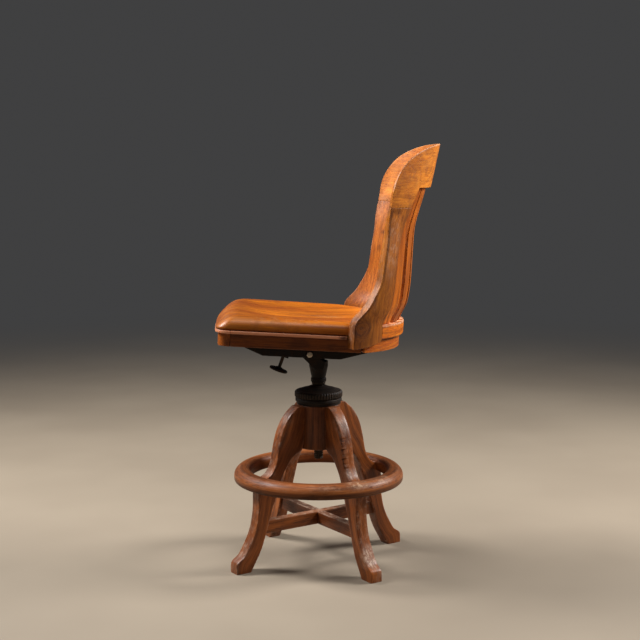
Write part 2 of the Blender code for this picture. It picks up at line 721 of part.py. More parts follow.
def build_hub():
    """Iron plate and sleeve on the post, and the key that keeps the screw from turning."""
    bore = SCREW_RADIUS + RUN
    low, lip = POST_TOP + GAP, POST_TOP + GAP + LIP_THICKNESS
    edge = PLATE_RADIUS - IRON_EDGE
    plate = part("hub_plate", turned_mesh((
        (bore, PLATE_TOP), (edge, PLATE_TOP), (PLATE_RADIUS, PLATE_TOP - IRON_EDGE), (PLATE_RADIUS, lip),
        (LIP_RADIUS, lip), (LIP_RADIUS, low), (SLEEVE_RADIUS, low),
        (SLEEVE_RADIUS, POST_TOP - SLEEVE_DEPTH), (bore, POST_TOP - SLEEVE_DEPTH))), BASE, IRON)
    combine(plate, key_box(GAP, SCREW_RADIUS / 2, 2 * SLEEVE_RADIUS))
    combine(plate, screw_holes(HUB_SCREW, HUB_SCREW_PLACES))
    add_screws("hub_screw", HUB_SCREW, HUB_SCREW_PLACES, BASE)
    part("hub_key", key_box(0.0, SCREW_RADIUS - KEYWAY_DEPTH + RUN, SLEEVE_RADIUS - GAP), BASE, STEEL)


def build_wheel():
    """Hand wheel: a domed iron nut with a fluted rim."""
    bore = SCREW_RADIUS + GAP
    chamfer = 2 * IRON_EDGE
    top = WHEEL_RADIUS - chamfer
    dome = [(r, WHEEL_RIM_TOP + WHEEL_DOME * (1 - (r - bore) / (top - bore)) ** 0.7)
            for r in spread(top, bore, 4)]
    steps = 2 * WHEEL_FLUTES
    mesh = turned_mesh([(bore, WHEEL_BOTTOM), (top, WHEEL_BOTTOM), (WHEEL_RADIUS, WHEEL_BOTTOM + chamfer),
                        (WHEEL_RADIUS, WHEEL_RIM_TOP - chamfer)] + dome, steps)
    for vert in mesh.vertices:
        radius = vert.co.xy.length
        index = round(math.atan2(vert.co.y, vert.co.x) / math.tau * steps)
        if radius > WHEEL_RADIUS - GAP and index % 2:
            vert.co.xy *= (WHEEL_RADIUS - FLUTE_DEPTH) / WHEEL_RADIUS
    part("hand_wheel", mesh, WHEEL, IRON)


def build_screw():
    """Height screw with its keyway, the thrust washer and the nut that keeps the socket on."""
    chamfer = 2 * IRON_EDGE
    journal_top = CUP_FLOOR + RUN
    nut_bottom = journal_top + GAP
    thread_top = nut_bottom + NUT_HEIGHT + chamfer
    screw = part("height_screw", turned_mesh((
        (0.0, SCREW_BOTTOM), (SCREW_RADIUS - chamfer, SCREW_BOTTOM), (SCREW_RADIUS, SCREW_BOTTOM + chamfer),
        (SCREW_RADIUS, SHOULDER_Z), (JOURNAL_RADIUS, SHOULDER_Z), (JOURNAL_RADIUS, journal_top),
        (THREAD_END_RADIUS, journal_top), (THREAD_END_RADIUS, thread_top), (0.0, thread_top)), 24),
        SPINDLE, STEEL)
    half = KEY_WIDTH / 2 + RUN
    combine(screw, box_mesh((SCREW_RADIUS - KEYWAY_DEPTH, -half, SCREW_BOTTOM - chamfer),
                            (2 * SCREW_RADIUS, half, KEY_BOTTOM + 1.5 * KEY_HEIGHT)))
    top = WASHER_BOTTOM + WASHER_THICKNESS
    part("swivel_washer", turned_mesh((
        (JOURNAL_RADIUS + GAP, WASHER_BOTTOM), (WASHER_RADIUS, WASHER_BOTTOM), (WASHER_RADIUS, top),
        (JOURNAL_RADIUS + GAP, top)), 24), SPINDLE, STEEL)
    nut = part("swivel_nut", rod_mesh(NUT_RADIUS, (0, 0, nut_bottom), (0, 0, nut_bottom + NUT_HEIGHT), 6),
               SPINDLE, STEEL)
    combine(nut, rod_mesh(THREAD_END_RADIUS + GAP, (0, 0, SHOULDER_Z), (0, 0, thread_top + NUT_HEIGHT)))


# Swivel head and tilt
def in_seat(y, z):
    """A point of the rod's own frame in the seat's frame, as (y, z)."""
    point = ROD_PLACE @ Vector((0, y, z))
    return point.y, point.z


def placed(mesh, matrix):
    """Moves a mesh and returns it."""
    mesh.transform(matrix)
    return mesh


def pin_bore(radius):
    """Round bar along the tilt pin's axis, in the seat's frame, longer than the iron."""
    reach = 2 * (IRON_INNER + IRON_PLATE)
    return rod_mesh(radius, (-reach, 0, 0), (reach, 0, 0))


def build_socket():
    """Socket casting: cup on the journal, yoke, pivot barrel and the fork over the spring."""
    bore = JOURNAL_RADIUS + RUN
    collar = SOCKET_BOTTOM + COLLAR_HEIGHT
    inside = CUP_RADIUS - CUP_WALL
    socket = part("tilt_socket", turned_mesh((
        (bore, SOCKET_BOTTOM), (COLLAR_RADIUS, SOCKET_BOTTOM), (COLLAR_RADIUS, collar),
        (NECK_RADIUS, collar + 2 * IRON_EDGE), (CUP_RADIUS, CUP_FLOOR), (CUP_RADIUS, CUP_TOP),
        (inside, CUP_TOP), (inside, CUP_FLOOR), (bore, CUP_FLOOR)), 24), HEAD, IRON)
    reach = IRON_INNER - RUN
    barrel = rod_mesh(BARREL_RADIUS, (-reach, 0, 0), (reach, 0, 0), 24)
    combine(socket, placed(barrel, SEAT_PLACE), 'UNION')
    front, rear = -PIVOT_FORWARD - BARREL_RADIUS, -PIVOT_FORWARD + BARREL_RADIUS
    tip = CUP_FLOOR - BARREL_RADIUS / 2
    ear = ((-0.35 * CUP_RADIUS, tip), (0.50 * CUP_RADIUS, tip),
           (0.70 * CUP_RADIUS, CUP_TOP - IRON_EDGE), (rear - IRON_EDGE, PIVOT_Z + IRON_EDGE),
           (front + IRON_EDGE, PIVOT_Z + IRON_EDGE),
           (front - 0.35 * BARREL_RADIUS, PIVOT_Z - 0.75 * BARREL_RADIUS))
    for side in (-1, 1):
        mesh = outline_mesh(ear, EAR_THICKNESS, "YZ")
        offset = Matrix.Translation((side * (reach - IRON_EDGE - EAR_THICKNESS / 2), 0, 0))
        combine(socket, placed(mesh, offset), 'UNION')
    width = FORK_HALF_WIDTH - IRON_EDGE
    stem = (in_seat(FORK_REAR - 2 * IRON_WEB, FORK_START + IRON_EDGE),
            in_seat(FORK_REAR - IRON_EDGE, FORK_START + FORK_THICKNESS - IRON_EDGE),
            (0.75 * BARREL_RADIUS, 0.30 * BARREL_RADIUS), (-0.75 * BARREL_RADIUS, -0.30 * BARREL_RADIUS))
    combine(socket, placed(outline_mesh(stem, 2 * width, "YZ"), SEAT_PLACE), 'UNION')
    fork = box_mesh((-FORK_HALF_WIDTH, -FORK_FRONT, FORK_START),
                    (FORK_HALF_WIDTH, FORK_REAR, FORK_START + FORK_THICKNESS))
    combine(socket, placed(fork, SEAT_PLACE @ ROD_PLACE), 'UNION')
    slot = box_mesh((-FORK_SLOT_HALF_WIDTH, -2 * FORK_FRONT, FORK_START - IRON_WEB),
                    (FORK_SLOT_HALF_WIDTH, FORK_SLOT_REAR, FORK_START + FORK_THICKNESS + IRON_WEB))
    combine(socket, placed(slot, SEAT_PLACE @ ROD_PLACE))
    combine(socket, placed(pin_bore(PIN_RADIUS + RUN), SEAT_PLACE))


def iron_plate_outline():
    """Side plate of the seat iron: deep at the pin, tapering to both ends."""
    under = IRON_TOP - IRON_FLANGE_THICKNESS - IRON_WEB
    top = IRON_TOP - IRON_EDGE
    return ((IRON_FRONT, top), (IRON_FRONT, under), (IRON_FLAT_FRONT, IRON_BOTTOM),
            (IRON_FLAT_REAR, IRON_BOTTOM), (IRON_REAR, under), (IRON_REAR, top))


def build_iron():
    """Seat iron: two side plates with flanges, end webs and the bridge for the tension rod."""
    outer = IRON_INNER + IRON_PLATE
    lap = outer - IRON_EDGE
    under = IRON_TOP - IRON_FLANGE_THICKNESS
    iron = part("seat_iron", box_mesh((-lap, IRON_FRONT + IRON_EDGE, under - IRON_WEB + IRON_EDGE),
                                      (lap, IRON_FRONT + IRON_WEB, IRON_TOP - 2 * IRON_EDGE)), SEAT, IRON)
    for side in (-1, 1):
        plate = outline_mesh(iron_plate_outline(), IRON_PLATE, "YZ")
        offset = Matrix.Translation((side * (IRON_INNER + IRON_PLATE / 2), 0, 0))
        combine(iron, placed(plate, offset), 'UNION')
        near, far = sorted((side * lap, side * (outer + IRON_FLANGE)))
        combine(iron, box_mesh((near, IRON_FRONT - IRON_EDGE, under), (far, IRON_REAR + IRON_EDGE, IRON_TOP)),
                'UNION')
    combine(iron, box_mesh((-lap, IRON_REAR - IRON_WEB, under - IRON_WEB + IRON_EDGE),
                           (lap, IRON_REAR - IRON_EDGE, IRON_TOP - 2 * IRON_EDGE)), 'UNION')
    y, z = in_seat(0.0, BRIDGE_START + BRIDGE_THICKNESS / 2)
    for side in (-1, 1):
        near, far = sorted((side * (IRON_INNER + IRON_EDGE / 2), side * (outer - IRON_EDGE / 2)))
        combine(iron, box_mesh((near, y - BRIDGE_HALF_DEPTH + IRON_EDGE, IRON_BOTTOM + IRON_WEB),
                               (far, y + BRIDGE_HALF_DEPTH - IRON_EDGE, z)), 'UNION')
    bridge = box_mesh((-lap, -BRIDGE_HALF_DEPTH, BRIDGE_START),
                      (lap, BRIDGE_HALF_DEPTH, BRIDGE_START + BRIDGE_THICKNESS))
    combine(iron, placed(bridge, ROD_PLACE), 'UNION')
    combine(iron, pin_bore(PIN_RADIUS + GAP))
    combine(iron, placed(rod_mesh(ROD_RADIUS + RUN, (0, 0, FORK_START), (0, 0, 2 * BRIDGE_START)), ROD_PLACE))
    combine(iron, screw_holes(IRON_SCREW, IRON_SCREW_PLACES))
    add_screws("iron_screw", IRON_SCREW, IRON_SCREW_PLACES, SEAT)


def build_pin():
    """Tilt pin with its round head on the +X side and its nut on the other."""
    outer = IRON_INNER + IRON_PLATE
    head = outer + GAP
    nut = 1.2 * PIN_RADIUS
    tip = -head - nut - 2 * IRON_EDGE
    across = Matrix.Rotation(math.pi / 2, 4, 'Y')
    end = head + PIN_HEAD_LENGTH
    pin = turned_mesh(((0.0, tip), (PIN_RADIUS, tip), (PIN_RADIUS, head), (PIN_HEAD_RADIUS, head),
                       (PIN_HEAD_RADIUS, end - 2 * IRON_EDGE), (0.6 * PIN_HEAD_RADIUS, end), (0.0, end)))
    part("tilt_pin", placed(pin, across), SEAT, PALE_STEEL)
    mesh = rod_mesh(1.7 * PIN_RADIUS, (-head - nut, 0, 0), (-head, 0, 0), 6)
    combine(part("tilt_pin_nut", mesh, SEAT, STEEL), pin_bore(PIN_RADIUS + GAP))


# Tension screw
def spring_points():
    """Centre line of the tilt spring between the spring nut and the fork."""
    low = SPRING_NUT_START + SPRING_NUT_THICKNESS + GAP + SPRING_WIRE_RADIUS
    high = FORK_START - GAP - SPRING_WIRE_RADIUS
    count = SPRING_TURNS * SPRING_POINTS_PER_TURN
    return [Vector((SPRING_MEAN_RADIUS * math.cos(math.tau * i / SPRING_POINTS_PER_TURN),
                    SPRING_MEAN_RADIUS * math.sin(math.tau * i / SPRING_POINTS_PER_TURN),
                    low + (high - low) * i / count)) for i in range(count + 1)]


def least_self_gap(points, radius):
    """Least clear distance between turns of a wound tube, measured on its points."""
    reach = SPRING_POINTS_PER_TURN // 2
    return min((points[i] - points[j]).length for i in range(len(points))
               for j in range(i + reach, len(points))) - 2 * radius


def build_tension():
    """Rod, hand disc, spring nut and spring that hold the seat level."""
    head = BRIDGE_START + BRIDGE_THICKNESS + GAP
    low = -DISC_THICKNESS / 2
    tip = low - 2 * IRON_EDGE
    part("tension_rod", turned_mesh((
        (0.0, tip), (ROD_RADIUS, tip), (ROD_RADIUS, head), (ROD_HEAD_RADIUS, head),
        (ROD_HEAD_RADIUS, head + ROD_HEAD_LENGTH), (0.0, head + ROD_HEAD_LENGTH)), SMALL_STEPS),
        TENSION, STEEL)
    bore, high, hub = ROD_RADIUS + GAP, DISC_THICKNESS / 2, low + DISC_HUB_LENGTH
    part("tension_disc", turned_mesh((
        (bore, low), (DISC_RADIUS - IRON_EDGE, low), (DISC_RADIUS, low + IRON_EDGE),
        (DISC_RADIUS, high - IRON_EDGE),
        (DISC_RADIUS - IRON_EDGE, high), (DISC_HUB_RADIUS, high), (DISC_HUB_RADIUS, hub), (bore, hub)), 24),
        TENSION, IRON)
    half = SPRING_NUT_DEPTH / 2
    nut = part("spring_nut", box_mesh((-IRON_INNER + RUN, -half, SPRING_NUT_START),
                                      (IRON_INNER - RUN, half, SPRING_NUT_START + SPRING_NUT_THICKNESS)),
               TENSION, IRON)
    soften(nut, IRON_EDGE)
    combine(nut, rod_mesh(ROD_RADIUS + GAP, (0, 0, 0), (0, 0, FORK_START)))

    points = spring_points()
    print(f"tilt_spring least gap {least_self_gap(points, SPRING_WIRE_RADIUS) * 1000:.2f} mm")
    curve = bpy.data.curves.new("tilt_spring", 'CURVE')
    curve.dimensions = '3D'
    curve.bevel_depth = SPRING_WIRE_RADIUS
    curve.bevel_resolution = 1
    curve.use_fill_caps = True
    spline = curve.splines.new('POLY')
    spline.points.add(len(points) - 1)
    for target, point in zip(spline.points, points):
        target.co = (*point, 1.0)
    curve.materials.append(STEEL)
    spring = bpy.data.objects.new("tilt_spring", curve)
    STOOL.objects.link(spring)
    spring.parent = TENSION


# Seat woodwork
def front_path(half, front, corner, bow, end):
    """Plan line from the right side at y = end, round the bowed front, to the left side."""
    straight = half - corner
    turn = [(straight + corner * math.cos(a), front + corner - corner * math.sin(a))
            for a in spread(0.0, math.pi / 2, 6)]
    middle = [(x, front - bow * (1 - (x / straight) ** 2)) for x in spread(straight, -straight, 9)]
    right = [(half, end)] + turn + middle[1:5]
    return right + [(-x, y) for x, y in reversed(right[:-1])]


def rear_path(half, radius):
    """Plan line from the left side, round the rear arc, to the right side."""
    angle = math.asin(half / radius)
    return [(radius * math.sin(a), SEAT_ARC_Y + radius * math.cos(a)) for a in spread(-angle, angle, 19)]


def arc_start(half, radius):
    """Where the rear arc leaves the side of the seat."""
    return SEAT_ARC_Y + math.sqrt(radius ** 2 - half ** 2)


def strip_mesh(outer, inner, low, high):
    """Upright rail between an outer and an inner plan line."""
    mesh = outline_mesh(outer + inner[::-1], high - low, "XY")
    return placed(mesh, Matrix.Translation((0, 0, (low + high) / 2)))


def build_apron():
    """Four rails of the seat frame: bowed front, two sides and the round rear."""
    half, thick = APRON_HALF_WIDTH, APRON_THICKNESS
    front_joint = APRON_FRONT + APRON_CORNER + APRON_EDGE
    rear_joint = arc_start(half - thick, APRON_ARC - thick)
    inner_corner = max(APRON_CORNER - thick, thick / 3)
    rail = strip_mesh(front_path(half, APRON_FRONT, APRON_CORNER, APRON_BOW, front_joint),
                      front_path(half - thick, APRON_FRONT + thick, inner_corner, APRON_BOW, front_joint),
                      APRON_BOTTOM, APRON_TOP)
    soften(part("apron_front", rail, SEAT, OAK_SEAT), APRON_EDGE)
    for side, name in ((1, "apron_left"), (-1, "apron_right")):
        near, far = sorted((side * (half - thick), side * half))
        rail = box_mesh((near, front_joint + GAP, APRON_BOTTOM), (far, rear_joint - GAP, APRON_TOP))
        obj = part(name, rail, SEAT, OAK_SEAT)
        soften(obj, APRON_EDGE)
        combine(obj, screw_holes(STILE_SCREW, STILE_SCREW_PLACES))
    outer = [(-half, rear_joint)] + rear_path(half, APRON_ARC) + [(half, rear_joint)]
    inner = rear_path(half - thick, APRON_ARC - thick)
    rail = strip_mesh(outer, inner, APRON_BOTTOM, APRON_TOP)
    soften(part("apron_rear", rail, SEAT, OAK_SEAT), APRON_EDGE)
    add_screws("stile_screw", STILE_SCREW, STILE_SCREW_PLACES, SEAT)


def nosed_strip(outer, inner):
    """Flat strip between two plan lines, its outer edge rounded as a nose."""
    edge = BEAD_NOSE * BEAD_THICKNESS
    rings = []
    for (ox, oy), (ix, iy) in zip(outer, inner):
        away = Vector((ox - ix, oy - iy)).normalized() * edge
        rings.append([(ix, iy, BEAD_BOTTOM), (ox - away.x, oy - away.y, BEAD_BOTTOM),
                      (ox, oy, BEAD_BOTTOM + edge), (ox, oy, BEAD_TOP - edge),
                      (ox - away.x, oy - away.y, BEAD_TOP), (ix, iy, BEAD_TOP)])
    return ring_solid(rings)


def build_bead():
    """Three strips under the panel whose rounded nose shows as a bead round front and sides."""
    half, front = PANEL_HALF_WIDTH + BEAD_PROJECTION, PANEL_FRONT - BEAD_PROJECTION
    corner = APRON_CORNER + APRON_INSET + BEAD_PROJECTION
    joint = front + corner
    slim = PANEL_HALF_WIDTH - BEAD_WIDTH
    outer = front_path(half, front, corner, APRON_BOW, joint + GAP)
    inner = [(x * slim / half, joint + GAP) for x, _ in outer]
    part("bead_front", nosed_strip(outer, inner), SEAT, OAK_BEAD)
    low = joint + 2 * GAP
    for side, name in ((1, "bead_left"), (-1, "bead_right")):
        strip = nosed_strip([(side * half, low), (side * half, BEAD_END_Y)],
                            [(side * slim, low), (side * slim, BEAD_END_Y)])
        part(name, strip, SEAT, OAK_BEAD)


def panel_height(x, y, share):
    """Top of the dished panel at a plan point, share being 0 at its middle and 1 at its crest."""
    forward = max(0.0, min(1.0, (SEAT_ARC_Y - y) / (SEAT_ARC_Y - PANEL_FRONT)))
    dish = PANEL_DISH * (1 - share ** 2) * (1 - 0.45 * forward)
    ridge = PANEL_RIDGE * forward * (1 - share ** 2) * math.exp(-(x / BEAD_WIDTH) ** 2)
    return PANEL_TOP - dish + ridge


def build_panel():
    """Dished seat panel with a rolled edge."""
    half = PANEL_HALF_WIDTH
    start = arc_start(half, PANEL_ARC)
    plan = (front_path(half, PANEL_FRONT, APRON_CORNER + APRON_INSET, APRON_BOW, start - BEAD_THICKNESS)
            + rear_path(half, PANEL_ARC))
    roll = PANEL_ROUND / -PANEL_FRONT
    wall = PANEL_BOTTOM + PANEL_LIP
    rings = [(1 - roll / 8, PANEL_BOTTOM, False), (1.0, PANEL_BOTTOM + PANEL_LIP / 4, False),
             (1.0, wall, False)]
    for a in (25, 50, 70):
        rise = math.sin(math.radians(a))
        rings.append((1 - roll * (1 - math.cos(math.radians(a))), wall + (PANEL_TOP - wall) * rise, False))
    crest = 1 - roll
    rings += [(crest * s, 0.0, True) for s in (1.0, 0.8, 0.6, 0.4, 0.2)]
    loops = []
    for scale, z, dished in rings:
        places = [(x * scale, SEAT_ARC_Y + (y - SEAT_ARC_Y) * scale) for x, y in plan]
        loops.append([(x, y, panel_height(x, y, scale / crest) if dished else z) for x, y in places])
    part("seat_panel", ring_solid(loops), SEAT, OAK_SEAT)


def build_battens():
    """Two cross battens under the panel that the seat iron is screwed to."""
    for name, y in (("batten_front", BATTEN_FRONT_Y), ("batten_rear", BATTEN_REAR_Y)):
        far = y + BATTEN_WIDTH / 2 - SEAT_ARC_Y
        arc = PANEL_ARC - BEAD_WIDTH - BEAD_THICKNESS
        half = PANEL_HALF_WIDTH - BEAD_WIDTH - BEAD_THICKNESS
        if far > 0.0:
            half = min(half, math.sqrt(arc ** 2 - far ** 2))
        batten = part(name, box_mesh((-half, y - BATTEN_WIDTH / 2, IRON_TOP + GAP),
                                     (half, y + BATTEN_WIDTH / 2, PANEL_BOTTOM - GAP)), SEAT, OAK_HIDDEN)
        combine(batten, screw_holes(IRON_SCREW, IRON_SCREW_PLACES))


# Barrel back
def ease(low, high, z):
    """Smooth step from 0 at low to 1 at high."""
    t = max(0.0, min(1.0, (z - low) / (high - low)))
    return t * t * (3 - 2 * t)


def barrel_radius(z):
    """Plan radius of the back's outer face at a height."""
    return FOOT_RADIUS + (CREST_RADIUS - FOOT_RADIUS) * ease(RAIL_TOP, CREST_SHOULDER_Z, z)


def bend(angle, depth, z):
    """Point of the barrel back: angle from the rear, depth inward from the outer face, height."""
    radius = barrel_radius(z)
    centre = BACK_REAR + smooth_value(BACK_LINE, z) - radius
    return Vector(((radius - depth) * math.sin(angle), centre + (radius - depth) * math.cos(angle), z))


def edge_angle(z):
    """Angle of the back's front edge at a height."""
    return math.asin((APRON_HALF_WIDTH + smooth_value(STILE_LINE, z)) / barrel_radius(z))


def rear_angle(z):
    """Angle of a stile's rear edge at a height."""
    return STILE_REAR_ANGLE * smooth_value(REAR_LINE, z)


def stile_thickness(z):
    """Thickness of a stile, stout at the foot and slimmer above."""
    return RAIL_THICKNESS + (STILE_TOP_THICKNESS - RAIL_THICKNESS) * ease(RAIL_TOP, CREST_LOWER_Z / 2, z)


def build_stiles():
    """Two sawn stiles, their feet notched over the seat frame."""
    top = CREST_JOINT_Z - GAP
    for side, name in ((1, "stile_left"), (-1, "stile_right")):
        grids = [[], []]
        for share in spread(0.0, 1.0, FOOT_ROWS) + spread(1.0, 2.0, STILE_ROWS)[1:]:
            rows = [[], []]
            for u in spread(0.0, 1.0, 5):
                low = RAIL_BOTTOM - (FOOT_DROP + GAP) * (1 - (1 - u) ** 2)
                foot, above = min(share, 1.0), max(share - 1.0, 0.0)
                z = low + (RAIL_TOP - low) * foot + (top - RAIL_TOP) * above
                angle = rear_angle(z) + (edge_angle(z) - rear_angle(z)) * u
                for row, depth in zip(rows, (0.0, stile_thickness(z))):
                    row.append(bend(side * angle, depth, z))
            for grid, row in zip(grids, rows):
                grid.append(row)
        stile = part(name, grid_solid(*grids, rounded=("right",)), SEAT, OAK_BACK)
        soften(stile, BACK_EDGE, 2, marked=True)
        combine(stile, seat_frame_cutter())
        combine(stile, screw_holes(STILE_SCREW, STILE_SCREW_PLACES))


def seat_frame_cutter():
    """Solid of the seat frame's outline, grown by a clearance, that notches the stiles."""
    half = APRON_HALF_WIDTH + GAP
    plan = (front_path(half, APRON_FRONT - GAP, APRON_CORNER, APRON_BOW, 0.0)
            + rear_path(half, APRON_ARC + GAP))
    depth = 2 * APRON_HEIGHT
    mesh = outline_mesh(plan, depth, "XY")
    return placed(mesh, Matrix.Translation((0, 0, APRON_TOP + GAP - depth / 2)))


def crest_angle(u, z, step):
    """Angle of a crest column; the columns beyond the step follow the stile's rear edge."""
    rear, edge = rear_angle(z), edge_angle(min(z, CREST_SHOULDER_Z))
    if abs(u) < step:
        return rear * u / step
    return math.copysign(rear + (edge - rear) * (abs(u) - step) / (1 - step), u)


def build_crest():
    """Curved crest rail with round shoulders, deeper at its ends where the stiles join it."""
    step = rear_angle(CREST_LOWER_Z) / edge_angle(CREST_SHOULDER_Z)
    inner = [-step + GAP + (2 * step - 2 * GAP) * i / (CREST_COLUMNS - 12) for i in range(CREST_COLUMNS - 11)]
    outer = [math.sin(a) for a in spread(math.asin(step), math.pi / 2, 6)]
    columns = [-u for u in reversed(outer)] + inner + outer
    grids = [[], []]
    for v in spread(0.0, 1.0, 5):
        rows = [[], []]
        for u in columns:
            low = CREST_JOINT_Z if abs(u) > step - GAP / 2 else CREST_LOWER_Z
            power = CREST_CORNER_POWER
            high = CREST_SHOULDER_Z + CREST_RISE * max(0.0, 1 - abs(u) ** power) ** (1 / power)
            z = low + (high - low) * v
            angle = crest_angle(u, z, step)
            thick = STILE_TOP_THICKNESS + (CREST_THICKNESS - STILE_TOP_THICKNESS) * ease(
                CREST_JOINT_Z, CREST_LOWER_Z, z)
            tip = ease(CREST_TIP_SHARE, 1.0, abs(u)) * ease(CREST_JOINT_Z, CREST_SHOULDER_Z, z)
            thick += (CREST_TIP - thick) * tip
            for row, depth in zip(rows, (0.0, thick)):
                row.append(bend(angle, depth, z))
        for grid, row in zip(grids, rows):
            grid.append(row)
    crest = part("crest_rail", grid_solid(*grids, rounded=("left", "high", "right")), SEAT, OAK_BACK)
    soften(crest, BACK_EDGE, 2, marked=True)


def build_rail():
    """Bowed lower rail of the back, standing on the rear of the seat frame."""
    reach = STILE_REAR_ANGLE - GAP / FOOT_RADIUS
    grids = [[[bend(a, depth, z) for a in spread(-reach, reach, 15)]
              for z in (RAIL_BOTTOM, RAIL_TOP)] for depth in (0.0, RAIL_THICKNESS)]
    rail = part("back_rail", grid_solid(*grids, rounded=("low", "high")), SEAT, OAK_BACK)
    soften(rail, BACK_EDGE, 2, marked=True)


def build_slats():
    """Bent slats between the lower rail and the crest."""
    half = SLAT_WIDTH / (FOOT_RADIUS + CREST_RADIUS)
    for i in range(SLAT_COUNT):
        share = (2 * i + 1) / SLAT_COUNT - 1
        grids = [[[bend(share * rear_angle(z) + a, depth, z) for a in (-half, 0.0, half)]
                  for z in spread(RAIL_TOP + GAP, CREST_LOWER_Z - GAP, 11)]
                 for depth in (SLAT_INSET, SLAT_INSET + SLAT_THICKNESS)]
        slat = part(f"slat_{i + 1}", grid_solid(*grids, rounded=("left", "right")), SEAT, OAK_BACK)
        soften(slat, SLAT_EDGE, 1, marked=True)


def centre_on_floor():
    """Moves the stool so that the origin is on the floor, at the middle of its footprint."""
    bpy.context.view_layer.update()
    depsgraph = bpy.context.evaluated_depsgraph_get()
    low, high = Vector((1e9,) * 3), Vector((-1e9,) * 3)
    for obj in STOOL.objects:
        if obj.type == 'EMPTY':
            continue
        ready = obj.evaluated_get(depsgraph)
        mesh = ready.to_mesh()
        for vert in mesh.vertices:
            point = obj.matrix_world @ vert.co
            low = Vector(map(min, low, point))
            high = Vector(map(max, high, point))
        ready.to_mesh_clear()
    middle = (low + high) / 2
    ROOT.location = (-middle.x, -middle.y, -low.z)
    bpy.context.view_layer.update()


def main():
    """Builds every piece and sets the stool on its origin."""
    build_post()
    build_legs()
    build_ring()
    build_stretchers()
    build_hub()
    build_wheel()
    build_screw()
    build_socket()
    build_iron()
    build_pin()
    build_tension()
    build_apron()
    build_bead()
    build_panel()
    build_battens()
    build_stiles()
    build_crest()
    build_rail()
    build_slats()
    centre_on_floor()


main()
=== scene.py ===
"""Dressed model of a tall oak swivel stool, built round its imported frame.

The frame gives the places and the moving bodies. The pieces here stand for its visible nodes with
rounded, worn woodwork and cast ironwork, and every surface gets a procedural finish. Lengths are in
metres and angles in radians, unless a name says otherwise.
"""

from __future__ import annotations

import json
import logging
import math
from dataclasses import dataclass, field, replace
from enum import Enum
from typing import Any, Callable, Sequence

import bmesh
import bpy
import numpy as np
from mathutils import Matrix, Vector

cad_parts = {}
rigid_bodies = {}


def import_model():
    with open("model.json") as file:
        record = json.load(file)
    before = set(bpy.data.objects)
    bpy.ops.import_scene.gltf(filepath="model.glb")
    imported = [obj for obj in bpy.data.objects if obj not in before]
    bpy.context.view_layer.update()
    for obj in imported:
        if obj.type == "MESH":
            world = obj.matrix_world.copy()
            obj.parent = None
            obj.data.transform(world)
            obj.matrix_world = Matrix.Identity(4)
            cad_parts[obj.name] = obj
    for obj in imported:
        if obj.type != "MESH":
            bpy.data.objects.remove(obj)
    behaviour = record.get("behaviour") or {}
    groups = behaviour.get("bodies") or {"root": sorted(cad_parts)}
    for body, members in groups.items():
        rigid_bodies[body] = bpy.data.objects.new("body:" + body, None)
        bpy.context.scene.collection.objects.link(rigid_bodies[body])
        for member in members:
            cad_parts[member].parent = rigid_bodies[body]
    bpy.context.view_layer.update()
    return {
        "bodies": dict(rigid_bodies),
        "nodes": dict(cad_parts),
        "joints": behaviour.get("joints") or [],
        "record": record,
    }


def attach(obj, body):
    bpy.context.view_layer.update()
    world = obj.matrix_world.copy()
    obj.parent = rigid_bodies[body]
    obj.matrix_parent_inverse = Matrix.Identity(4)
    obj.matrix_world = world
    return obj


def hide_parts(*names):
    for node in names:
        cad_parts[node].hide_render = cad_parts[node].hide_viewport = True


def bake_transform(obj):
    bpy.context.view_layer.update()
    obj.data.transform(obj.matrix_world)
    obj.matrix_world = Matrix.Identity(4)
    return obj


LOG = logging.getLogger("swivel_stool")
Pair = tuple[float, float]
Triple = tuple[float, float, float]
Faces = list[tuple[int, ...]]
Socket = bpy.types.NodeSocket
Flow = Callable[[np.ndarray], np.ndarray]
Turn = Callable[[float, np.ndarray, np.ndarray], np.ndarray]
Place = Callable[[Any, Any, int], Sequence[float]]

RAKE = math.radians(3.0)
ROD_LEAN = math.radians(17.0)
# Point layers: edge wear; wear plus painted sheen; stains and dark joints plus painted shade.
WEAR_SHEEN_AND_SHADE = ("edge", "worn", "stain")
FIGURE_STEP = np.array((1.0, 0.37, 0.11))
NOISE_STEP = (1.0, 1.7, 2.3)
CORNER_SHARE = 0.45
MARK_FADE = 1.5
RIM_WEAR = 0.55


class Body(str, Enum):
    """Moving bodies of the stool."""

    BASE = "base"
    WHEEL = "wheel"
    SPINDLE = "spindle"
    HEAD = "swivel_head"
    SEAT = "seat"
    TENSION = "tension_screw"
    NUT = "tension_nut"


class Axis(int, Enum):
    """Axis that a straight board's grain runs along."""

    X = 0
    Y = 1
    Z = 2


class Side(int, Enum):
    """Side of the seat, with its sign along X."""

    LEFT = 1
    RIGHT = -1

    @property
    def label(self) -> str:
        """Name of the side in piece and node names."""
        return self.name.lower()


@dataclass(frozen=True)
class Pattern:
    """A noise that is stretched by axis, with the range of it that counts."""

    scale: Triple
    shift: float
    detail: float
    rough: float
    span: Pair | None = None


